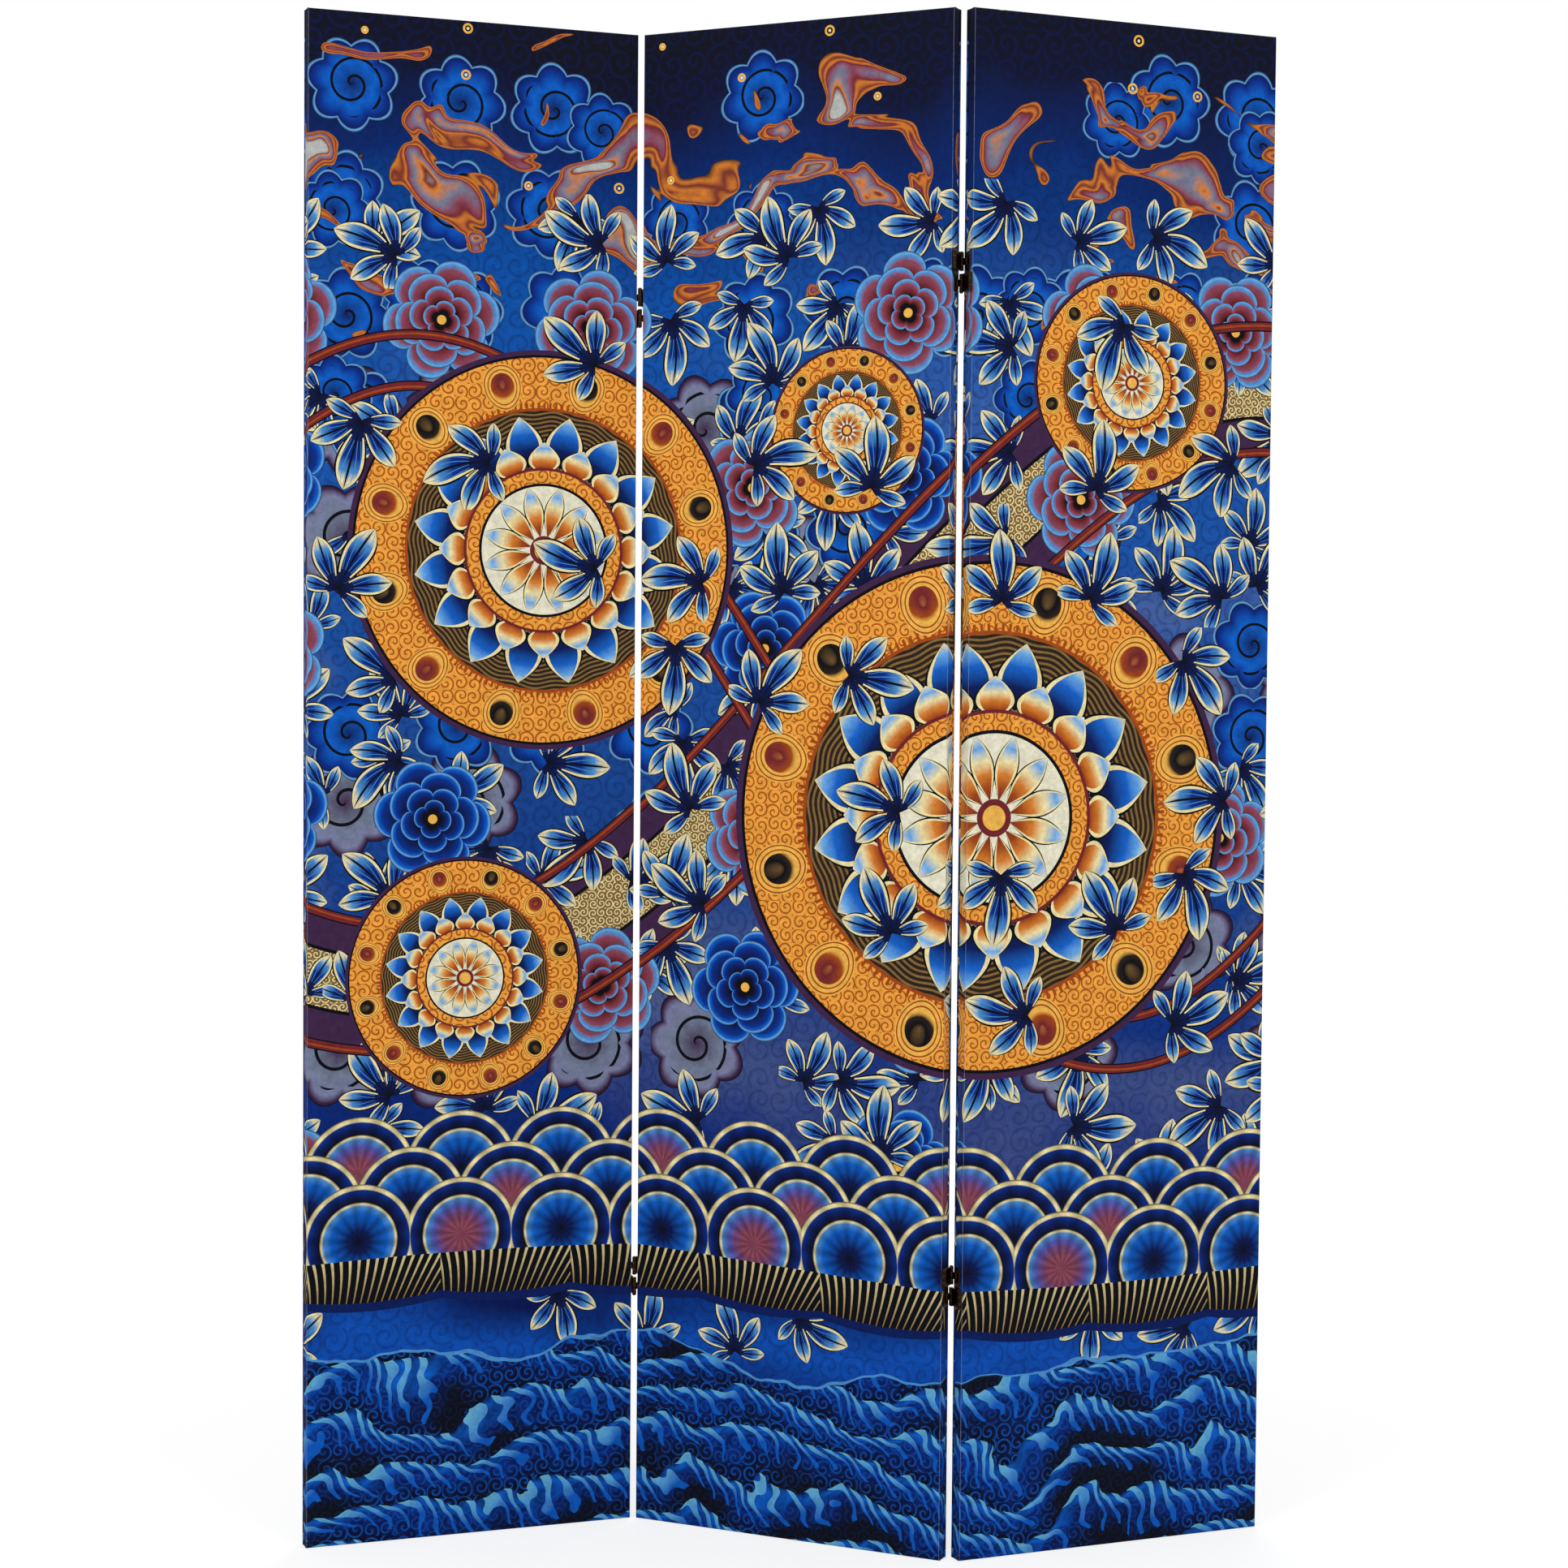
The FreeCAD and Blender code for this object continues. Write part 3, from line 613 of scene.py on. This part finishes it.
def front_print(recipe, spot, u, v):
    """The front: beaded rosettes on swinging ribbons, among leaves and clouds over water."""
    gilt = recipe.over(GILT, SIENNA, curls(recipe, spot, 0.0165))
    pale_gilt = recipe.over(BRONZE, CREAM, curls(recipe, spot, 0.0105))
    colour = ground(recipe, spot, v)
    colour = recipe.over(colour, NAVY, curls(recipe, spot, 0.031) * 0.3)
    colour = clouds(recipe, colour, spot, 0.15, 6, between(0.5, 1.45, 0.65), CLOUD_GREY)
    colour = clouds(recipe, colour, spot, 0.125, 3, between(0.75, 1.74, 0.42), CLOUD_BLUE)
    colour = clouds(recipe, colour, spot, 0.105, 14, between(1.3, 1.76, 0.5), CLOUD_BLUE)
    colour = wisps(recipe, colour, spot, v, 1.44, 1.78)
    across = ribbon(u, v, 1.02, 0.36, 2.9, -1.9)
    colour = recipe.over(colour, PLUM, across < 0.075)
    colour = recipe.over(colour, pale_gilt, across < 0.034)
    colour = recipe.over(colour, BLACK, across.near(0.034, 0.002))
    beyond = ribbon(u, v, 1.0, 0.40, 3.6, 1.1)
    colour = sprigs(recipe, colour, spot, 0.108, 15, between(0.2, 1.56, 0.68))
    colour = sprigs(recipe, colour, spot, 0.124, 5, between(0.42, 1.62, 0.68))
    colour = blossoms(recipe, colour, spot, 0.20, 2, between(0.45, 1.6, 0.5))
    colour = rails(recipe, colour, across, 0.075)
    colour = rails(recipe, colour, beyond, 0.03)
    colour = rosettes(recipe, colour, spot, gilt, ROSETTE_MIDDLES)
    colour = sprigs(recipe, colour, spot, 0.132, 11, between(0.42, 1.5, 0.48))
    colour = scallops(recipe, colour, u, v, (0.43, 0.39, 0.35), 0.062)
    colour = water(recipe, colour, spot, u, v)
    return stars(recipe, colour, spot, 0.09, 4, 1.55)


def back_print(recipe, spot, u, v):
    """The back: a calmer design of the same kind, with fewer rosettes."""
    gilt = recipe.over(GILT, SIENNA, curls(recipe, spot, 0.0165))
    colour = ground(recipe, spot, v)
    colour = clouds(recipe, colour, spot, 0.16, 8, between(0.5, 1.76, 0.6), CLOUD_BLUE)
    across = ribbon(u, v, 0.95, 0.25, 3.4, 0.4)
    colour = recipe.over(colour, gilt, across < 0.03)
    colour = sprigs(recipe, colour, spot, 0.13, 7, between(0.35, 1.6, 0.8))
    colour = blossoms(recipe, colour, spot, 0.22, 6, between(0.4, 1.5, 0.6))
    colour = rails(recipe, colour, across, 0.06)
    colour = rosettes(recipe, colour, spot, gilt, [(0.6, 1.1, 0.3), (0.2, 0.7, 0.14), (1.0, 0.7, 0.14)])
    colour = water(recipe, colour, spot, u, v)
    return stars(recipe, colour, spot, 0.09, 9, 1.55)


# Finishes of the frame and the metal

def softwood(name, light, dark, rough):
    """Planed softwood with growth lines that run upright on every piece."""
    recipe = Recipe(bpy.data.materials.new(name))
    spot = recipe.node("TexCoord", {}, {}, 3)
    stretched = recipe.node("Mapping", {}, {"Vector": spot, "Scale": (1.0, 1.0, 0.06)})
    rings = recipe.noise(stretched, 90.0, 3.0, flat=False)
    pores = recipe.noise(stretched, 900.0, 1.0, flat=False)
    grain = recipe.over(light, dark, (rings * 7).fract() * 0.6)
    colour = recipe.shade(grain, pores * 0.3 + 0.85)
    normal = recipe.bump(pores, 0.2, 0.0002)
    return recipe.finish(colour, Roughness=rings * 0.2 + rough, Normal=normal)


def antique_brass(name, body, bright, gloss):
    """Dark lacquered brass, rubbed bright along its edges."""
    recipe = Recipe(bpy.data.materials.new(name))
    spot = recipe.node("TexCoord", {}, {}, 3)
    cloudy = recipe.noise(spot, 700.0, 3.0, flat=False)
    specks = recipe.noise(spot, 3200.0, 2.0, flat=False)
    eased = recipe.node("Bevel", {"samples": 4}, {"Radius": 0.0006})
    face = recipe.node("NewGeometry", {}, {}, 1)
    along = recipe.node("VectorMath", {"operation": "DOT_PRODUCT"}, {0: eased, 1: face}, 1)
    lightened_edges = (1 - along) * 6 + (cloudy - 0.55)
    colour = recipe.over(body, bright, lightened_edges.at_least(0.0).at_most(0.85))
    colour = recipe.shade(colour, specks * 0.5 + 0.75)
    normal = recipe.bump(specks, 0.15, 0.0001)
    return recipe.finish(colour, Metallic=1.0, Roughness=cloudy * 0.25 + gloss, Normal=normal)


def bright_wire(name):
    """Galvanised staple wire."""
    recipe = Recipe(bpy.data.materials.new(name))
    spot = recipe.node("TexCoord", {}, {}, 3)
    drawn = recipe.noise(spot, 2500.0, 2.0, flat=False)
    colour = recipe.over(ink(150, 152, 156), ink(206, 208, 210), drawn)
    return recipe.finish(colour, Metallic=1.0, Roughness=drawn * 0.2 + 0.3)


# Where the panels stand

def panel_places():
    """Each panel's own frame, from the joints' axes and the panels' turns."""
    axes = {joint["name"]: Vector((*joint["pos_m"][:2], 0)) for joint in frame["joints"]}
    left_x = CLOTH - HINGE_GAP / 2
    right_x = PANEL_WIDTH - CLOTH + HINGE_GAP / 2
    front = -AXIS_STAND_OFF
    back = PANEL_DEPTH + AXIS_STAND_OFF
    hung = {
        "left_panel": (axes["left_fold"], Vector((right_x, front, 0))),
        "middle_panel": (axes["left_fold"], Vector((left_x, front, 0))),
        "right_panel": (axes["right_fold"], Vector((left_x, back, 0))),
    }
    places = {}
    for panel, (axis, own_spot) in hung.items():
        turn = Matrix.Rotation(math.radians(PANEL_TURNS[panel]), 4, "Z")
        places[panel] = Matrix.Translation(axis - turn @ own_spot) @ turn
    return places


# Canvas

CELL = 0.025
FOLD = 0.0004
SAG = 0.0005
TAUT_MARGIN = 0.03
SAG_RUN = 0.05
PRINTED_WALL = CLOTH * 0.9
LINING_WALL = CLOTH * 0.95
CLOTH_CREASE = math.radians(35)
SAME_PLACE = 1e-6
WELD = 1e-7


def box_mesh(low, high):
    """A box from its lowest corner to its highest, as an editable mesh."""
    mesh = bmesh.new()
    size = Vector(high) - Vector(low)
    middle = (Vector(high) + Vector(low)) / 2
    bmesh.ops.create_cube(mesh, size=1, matrix=Matrix.Translation(middle) @ Matrix.Diagonal((*size, 1)))
    return mesh


def faces_at(mesh, axis, value):
    return [f for f in mesh.faces if abs(f.calc_center_median()[axis] - value) < SAME_PLACE]


def cut_into_cells(mesh, width, height):
    """Cuts the cloth across and along, so that it can sag a little between the rails."""
    for axis, length in ((0, width), (2, height)):
        count = round(length / CELL)
        for step in range(1, count):
            place = Vector()
            place[axis] = length * step / count
            normal = Vector()
            normal[axis] = 1
            everything = [*mesh.verts, *mesh.edges, *mesh.faces]
            bmesh.ops.bisect_plane(mesh, geom=everything, plane_co=place, plane_no=normal, dist=WELD)


def lay_print(mesh, column, width, behind):
    """Unfolds the cloth onto the print: across as U, up as V, the wrapped edges running on."""
    layer = mesh.loops.layers.uv.new("print")
    for face in mesh.faces:
        on_end = abs(face.normal.z) > abs(face.normal.x) and abs(face.normal.z) > 0.5
        for loop in face.loops:
            x, y, z = loop.vert.co
            depth = (PANEL_DEPTH - y) if behind else y
            middle = face.calc_center_median()
            u = (x - CLOTH) * PANEL_WIDTH / (PANEL_WIDTH - 2 * CLOTH)
            v = z
            if on_end:
                v += depth if middle.z > PANEL_HEIGHT / 2 else -depth
            else:
                u += depth if middle.x > width / 2 else -depth
            if behind:
                u = PANEL_WIDTH - u
            loop[layer].uv = (u + column * PANEL_WIDTH, v)


def made_piece(name, mesh, place, material, thickness=0.0):
    """A finished object from an editable mesh, stood in its place, with a wall if it has one."""
    mesh.transform(place)
    data = bpy.data.meshes.new(name)
    mesh.to_mesh(data)
    mesh.free()
    data.materials.append(material)
    piece = bpy.data.objects.new(name, data)
    bpy.context.scene.collection.objects.link(piece)
    if thickness:
        wall = piece.modifiers.new("wall", "SOLIDIFY")
        wall.thickness = thickness
        wall.offset = -1
        bake_modifiers(piece)
    piece.data.shade_smooth()
    piece.data.set_sharp_from_angle(angle=CLOTH_CREASE)
    return piece


def bake_modifiers(piece):
    """Turns a piece with modifiers into a plain mesh."""
    seen = piece.evaluated_get(bpy.context.evaluated_depsgraph_get())
    data = bpy.data.meshes.new_from_object(seen)
    piece.modifiers.clear()
    piece.data = data


def corner_fold(mesh, x, inward, z_low, z_high, depth):
    """The cloth folded flat on the end of a panel at one of its corners."""
    points = [(x, EDGE_ROUND), (x, depth), (x + inward * depth, depth)]
    rings = []
    for z in (z_low, z_high):
        rings.append([mesh.verts.new((px, py, z)) for px, py in points])
    low, high = rings
    made = [mesh.faces.new(low), mesh.faces.new(high)]
    for i in range(3):
        j = (i + 1) % 3
        made.append(mesh.faces.new((low[i], low[j], high[j], high[i])))
    bmesh.ops.recalc_face_normals(mesh, faces=made)


def front_canvas(panel, column, place, material):
    """The printed front canvas: stretched over the frame, wrapped round its edges, lips behind."""
    depth = PANEL_DEPTH - CLOTH
    mesh = box_mesh((CLOTH, 0, FOLD), (PANEL_WIDTH - CLOTH, depth, PANEL_HEIGHT - FOLD))
    bmesh.ops.delete(mesh, geom=faces_at(mesh, 1, depth), context="FACES_ONLY")
    rounded = [e for e in mesh.edges if not all(abs(v.co.y - depth) < SAME_PLACE for v in e.verts)]
    bmesh.ops.bevel(mesh, geom=rounded, offset=EDGE_ROUND, segments=4, profile=0.5, affect="EDGES")
    rim = [e for e in mesh.edges if e.is_boundary]
    lips = bmesh.ops.extrude_edge_only(mesh, edges=rim)["geom"]
    middle = Vector((PANEL_WIDTH / 2, 0, PANEL_HEIGHT / 2))
    for vert in lips:
        if isinstance(vert, bmesh.types.BMVert):
            for axis in (0, 2):
                reach = middle[axis] - LIP_WIDTH
                vert.co[axis] = middle[axis] + (vert.co[axis] - middle[axis]) * reach / middle[axis]
    cut_into_cells(mesh, PANEL_WIDTH, PANEL_HEIGHT)
    bmesh.ops.recalc_face_normals(mesh, faces=mesh.faces)
    for x, inward in ((CLOTH, 1), (PANEL_WIDTH - CLOTH, -1)):
        corner_fold(mesh, x, inward, 0, FOLD, depth)
        corner_fold(mesh, x, inward, PANEL_HEIGHT - FOLD, PANEL_HEIGHT, depth)
    mesh.normal_update()
    lay_print(mesh, column, PANEL_WIDTH, behind=False)
    for vert in mesh.verts:
        if abs(vert.co.y) < SAME_PLACE:
            edge = min(vert.co.x, PANEL_WIDTH - vert.co.x, vert.co.z, PANEL_HEIGHT - vert.co.z)
            free = min(max((edge - TAUT_MARGIN) / SAG_RUN, 0), 1)
            wave = math.sin(vert.co.x * 31 + column * 2) * math.sin(vert.co.z * 11 + column)
            vert.co.y += SAG * free * (0.6 + 0.4 * wave)
    name = f"{panel}_printed_canvas"
    piece = made_piece(name, mesh, place, material, PRINTED_WALL)
    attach(piece, panel)
    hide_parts(f"{panel}_front_canvas")
    return piece


def back_canvas(panel, column, place, material):
    """The back canvas: a sheet over the back with a hem round each back corner."""
    mesh = box_mesh((0, PANEL_DEPTH - HEM_WIDTH, 0), (PANEL_WIDTH, PANEL_DEPTH, PANEL_HEIGHT))
    ends = faces_at(mesh, 2, 0) + faces_at(mesh, 2, PANEL_HEIGHT)
    gone = faces_at(mesh, 1, PANEL_DEPTH - HEM_WIDTH) + ends
    bmesh.ops.delete(mesh, geom=gone, context="FACES")
    upright = [e for e in mesh.edges if not e.is_boundary]
    bmesh.ops.bevel(mesh, geom=upright, offset=EDGE_ROUND, segments=4, profile=0.5, affect="EDGES")
    cut_into_cells(mesh, PANEL_WIDTH, PANEL_HEIGHT)
    mesh.normal_update()
    lay_print(mesh, 2 - column, PANEL_WIDTH, behind=True)
    name = f"{panel}_lining_canvas"
    piece = made_piece(name, mesh, place, material, LINING_WALL)
    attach(piece, panel)
    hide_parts(f"{panel}_back_canvas")
    return piece


# Hinges

EASE_WIDTH = 0.00015
METAL_CREASE = math.radians(40)


def eased(node, body, material, slot):
    """A hinge piece with its edges eased, which stands for the plain one."""
    mesh = bmesh.new()
    mesh.from_mesh(nodes[node].data)
    bmesh.ops.remove_doubles(mesh, verts=mesh.verts, dist=WELD)
    bmesh.ops.dissolve_limit(mesh, angle_limit=math.radians(1), verts=mesh.verts, edges=mesh.edges)
    data = bpy.data.meshes.new(node)
    mesh.to_mesh(data)
    mesh.free()
    data.materials.clear()
    data.materials.append(material)
    piece = bpy.data.objects.new(node + "_finished", data)
    bpy.context.scene.collection.objects.link(piece)
    ease = piece.modifiers.new("ease", "BEVEL")
    ease.width = EASE_WIDTH
    ease.segments = 2
    ease.limit_method = "ANGLE"
    ease.angle_limit = METAL_CREASE
    bake_modifiers(piece)
    piece.data.shade_smooth()
    piece.data.set_sharp_from_angle(angle=METAL_CREASE)
    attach(piece, body)
    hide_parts(node)
    return piece


# Hinge screws, one shape repeated on places

SCREW = {
    "Head Radius": 0.0027,
    "Head Depth": 0.0012,
    "Shank Radius": 0.0015,
    "Length": 0.016,
    "Tip": 0.003,
    "Slot Length": 0.0032,
    "Slot Width": 0.0007,
    "Slot Depth": 0.0007,
    "Ring Pitch": 0.0005,
}
LEAF_THICKNESS = 0.0012
HINGE_RISES = {"left": (1.474, 0.299), "right": (1.500, 0.321)}
HINGED_EDGES = {
    "left_panel": {"right": "left"},
    "middle_panel": {"left": "left", "right": "right"},
    "right_panel": {"left": "right"},
}
SCREW_OFFSETS = (-0.019, -0.0052, 0.0052, 0.019)
SCREW_SIDES = 16
ROOT_SHARE = 0.8
BLUNT_TIP = 0.00005


def screw_tree(material):
    """A tree that stands a countersunk cross-head screw on every place, pointing inward."""
    tree = bpy.data.node_groups.new("screws", "GeometryNodeTree")
    tree.interface.new_socket("Places", in_out="INPUT", socket_type="NodeSocketGeometry")
    for name in SCREW:
        tree.interface.new_socket(name, in_out="INPUT", socket_type="NodeSocketFloat")
    tree.interface.new_socket("Seed", in_out="INPUT", socket_type="NodeSocketInt")
    tree.interface.new_socket("Screws", in_out="OUTPUT", socket_type="NodeSocketGeometry")
    shape = Wiring(tree)
    given = shape.add("NodeGroupInput", {}, {}).socket.node.outputs
    get = {socket.name: Field(shape, socket) for socket in given if socket.name}
    rings = get["Length"] / get["Ring Pitch"] + 1
    step = shape.add("ShaderNodeCombineXYZ", {}, {"Z": get["Ring Pitch"]})
    spine = shape.add("GeometryNodeMeshLine", {}, {"Count": rings, "Offset": step})
    axis = shape.add("GeometryNodeMeshToCurve", {}, {"Mesh": spine})
    number = shape.add("GeometryNodeInputIndex", {}, {})
    height = number * get["Ring Pitch"]
    flare = (get["Head Radius"] - get["Shank Radius"]) / get["Head Depth"]
    head = get["Head Radius"] - height * flare
    thread = (number * 0.5).fract() * (2 - 2 * ROOT_SHARE) + ROOT_SHARE
    point = (get["Length"] - height) / get["Tip"]
    shank = get["Shank Radius"] * thread * point.at_most(1.0)
    swell = head.at_least(shank).at_least(BLUNT_TIP)
    ring = shape.add("GeometryNodeCurvePrimitiveCircle", {}, {"Resolution": SCREW_SIDES, "Radius": 1.0})
    sockets = {"Curve": axis, "Profile Curve": ring, "Scale": swell, "Fill Caps": True}
    blank = shape.add("GeometryNodeCurveToMesh", {}, sockets)
    slots = []
    long, thin, deep = get["Slot Length"], get["Slot Width"], get["Slot Depth"] * 2
    for across, along in ((long, thin), (thin, long)):
        size = shape.add("ShaderNodeCombineXYZ", {}, {"X": across, "Y": along, "Z": deep})
        slots.append(shape.add("GeometryNodeMeshCube", {}, {"Size": size}))
    sockets = {"Mesh 1": blank, "Mesh 2": slots}
    exact = {"operation": "DIFFERENCE", "solver": "EXACT"}
    screw = shape.add("GeometryNodeMeshBoolean", exact, sockets)
    vector = {"data_type": "FLOAT_VECTOR"}
    inward = shape.add("GeometryNodeInputNamedAttribute", vector, {"Name": "inward"})
    facing = shape.add("FunctionNodeAlignRotationToVector", {"axis": "Z"}, {"Vector": inward})
    sockets = {"Points": get["Places"], "Instance": screw, "Rotation": facing}
    stood = shape.add("GeometryNodeInstanceOnPoints", {}, sockets)
    sockets = {3: math.pi, "Seed": get["Seed"]}
    chance = shape.add("FunctionNodeRandomValue", {"data_type": "FLOAT"}, sockets, 1)
    spin = shape.add("ShaderNodeCombineXYZ", {}, {"Z": chance})
    driven = shape.add("GeometryNodeRotateInstances", {}, {"Instances": stood, "Rotation": spin})
    real = shape.add("GeometryNodeRealizeInstances", {}, {"Geometry": driven})
    done = shape.add("GeometryNodeSetMaterial", {}, {"Geometry": real, "Material": material})
    shape.add("NodeGroupOutput", {}, {"Screws": done})
    return tree


def hinge_screws(panel, place, tree, seed):
    """All the screws that hold leaves on one panel."""
    spots = []
    for edge, joint in HINGED_EDGES[panel].items():
        x = CLOTH if edge == "left" else PANEL_WIDTH - CLOTH
        side = 1 if edge == "left" else -1
        for rise in HINGE_RISES[joint]:
            for offset in SCREW_OFFSETS:
                spots.append((Vector((x - side * LEAF_THICKNESS, PANEL_DEPTH / 2, rise + offset)), side))
    data = bpy.data.meshes.new(f"{panel}_screw_places")
    data.from_pydata([place @ spot for spot, side in spots], [], [])
    inward = data.attributes.new("inward", "FLOAT_VECTOR", "POINT")
    for item, (spot, side) in zip(inward.data, spots):
        item.vector = place.to_3x3() @ Vector((side, 0, 0))
    piece = bpy.data.objects.new(f"{panel}_brass_screws", data)
    bpy.context.scene.collection.objects.link(piece)
    made = piece.modifiers.new("screws", "NODES")
    made.node_group = tree
    for item in tree.interface.items_tree:
        if item.name in SCREW:
            made[item.identifier] = SCREW[item.name]
        elif item.name == "Seed":
            made[item.identifier] = seed
    bake_modifiers(piece)
    piece.data.set_sharp_from_angle(angle=METAL_CREASE)
    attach(piece, panel)
    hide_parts(f"{panel}_hinge_screws")


# The screen

places = panel_places()
printed = printed_cloth("printed canvas", front_print)
lining = printed_cloth("printed back canvas", back_print)
for column, panel in enumerate(PANELS):
    front_canvas(panel, column, places[panel], printed)
    back_canvas(panel, column, places[panel], lining)

dark_brass = antique_brass("dark antique brass", ink(34, 23, 18), ink(150, 104, 66), 0.34)
pin_brass = antique_brass("rubbed pin brass", ink(58, 42, 26), ink(190, 146, 84), 0.3)
screw_brass = antique_brass("antique screw brass", ink(70, 52, 32), ink(186, 142, 82), 0.32)
pine = softwood("planed softwood", ink(222, 190, 142), ink(184, 138, 86), 0.5)
offcut = softwood("sawn softwood", ink(208, 174, 126), ink(166, 122, 76), 0.6)
wire = bright_wire("galvanised wire")
HINGE_FINISHES = {
    "_leaf": (dark_brass, "leaf_brass"),
    "_link": (dark_brass, "link_brass"),
    "_pins": (pin_brass, "pin_brass"),
}
screws = screw_tree(screw_brass)
for number, panel in enumerate(PANELS):
    hinge_screws(panel, places[panel], screws, number)
for name, thing in nodes.items():
    ending = "_" + name.rsplit("_", 1)[1]
    if ending in ("_canvas", "_screws"):
        continue
    if ending in HINGE_FINISHES:
        finish, slot = HINGE_FINISHES[ending]
        eased(name, thing["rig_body"], finish, slot)
        continue
    finish = {"_staples": wire, "_blocks": offcut}.get(ending, pine)
    thing.data.materials.clear()
    thing.data.materials.append(finish)


# Floor, light and camera

FLOOR_REACH = 9.0
FLOOR_GREY = ink(236, 236, 236)
FLOOR_WHITE = 1.16
NEAR_FLOOR = {"From Min": 0.9, "From Max": 2.2, "To Min": 0.6, "To Max": 1.0}
WHITE = (1, 1, 1, 1)
ROOM_LIGHT = 0.62
CAMERA_SPOT = (-0.0087, -3.5075, 1.0485)
CAMERA_DOWN = 2.354
CAMERA_ROLL = 0.451
FOCAL_PIXELS = 3641.5
PICTURE_PIXELS = 1932
SENSOR = 36.0


def pale_floor():
    """A plain white floor that keeps the screen's shadow and runs into the white background."""
    recipe = Recipe(bpy.data.materials.new("pale floor"))
    lit = recipe.node("BsdfDiffuse", {}, {"Color": FLOOR_GREY})
    glow = recipe.node("Emission", {}, {"Color": WHITE, "Strength": FLOOR_WHITE})
    spot = recipe.node("TexCoord", {}, {}, 3)
    away = recipe.node("VectorMath", {"operation": "LENGTH"}, {0: spot}, 1)
    smooth = {"interpolation_type": "SMOOTHSTEP"}
    share = recipe.node("MapRange", smooth, {"Value": away, **NEAR_FLOOR})
    both = recipe.node("MixShader", {}, {"Fac": recipe.looked_at() * share, 1: lit, 2: glow})
    recipe.node("OutputMaterial", {}, {"Surface": both})
    mesh = bmesh.new()
    bmesh.ops.create_grid(mesh, x_segments=1, y_segments=1, size=FLOOR_REACH)
    floor = made_piece("floor", mesh, Matrix(), recipe.owner)


def white_room():
    """A white background, and soft even light from all round."""
    recipe = Recipe(bpy.data.worlds.new("white room"))
    light = recipe.node("Background", {}, {"Color": WHITE, "Strength": ROOM_LIGHT})
    white = recipe.node("Background", {}, {"Color": WHITE, "Strength": 1.0})
    both = recipe.node("MixShader", {}, {"Fac": recipe.looked_at(), 1: light, 2: white})
    recipe.node("OutputWorld", {}, {"Surface": both})
    bpy.context.scene.world = recipe.owner


def lamp(name, spot, aim, size, watts):
    """A soft square lamp that points at a place."""
    data = bpy.data.lights.new(name, "AREA")
    data.size = size
    data.energy = watts
    thing = bpy.data.objects.new(name, data)
    thing.location = spot
    thing.rotation_euler = (Vector(aim) - Vector(spot)).to_track_quat("-Z", "Y").to_euler()
    bpy.context.scene.collection.objects.link(thing)


def camera():
    """The camera of the photograph: a little above the screen's middle, turned down and rolled."""
    data = bpy.data.cameras.new("camera")
    data.sensor_width = SENSOR
    data.lens = SENSOR * FOCAL_PIXELS / PICTURE_PIXELS
    thing = bpy.data.objects.new("camera", data)
    pitch = math.radians(CAMERA_DOWN)
    roll = math.radians(CAMERA_ROLL)
    ahead = Vector((0, math.cos(pitch), -math.sin(pitch)))
    across = Vector((1, 0, 0))
    up = across.cross(ahead)
    right = across * math.cos(roll) + up * math.sin(roll)
    top = up * math.cos(roll) - across * math.sin(roll)
    turn = Matrix((right, top, -ahead)).transposed()
    thing.matrix_world = Matrix.Translation(CAMERA_SPOT) @ turn.to_4x4()
    bpy.context.scene.collection.objects.link(thing)
    bpy.context.scene.camera = thing


pale_floor()
white_room()
lamp("left lamp", (-2.6, -3.2, 2.6), (0, 0, 0.9), 2.2, 80)
lamp("right lamp", (2.6, -3.2, 2.2), (0, 0, 0.9), 2.2, 60)
lamp("back lamp", (0.5, 3.0, 2.6), (0, 0, 0.9), 2.0, 40)
camera()
bpy.context.scene.view_settings.view_transform = "Standard"
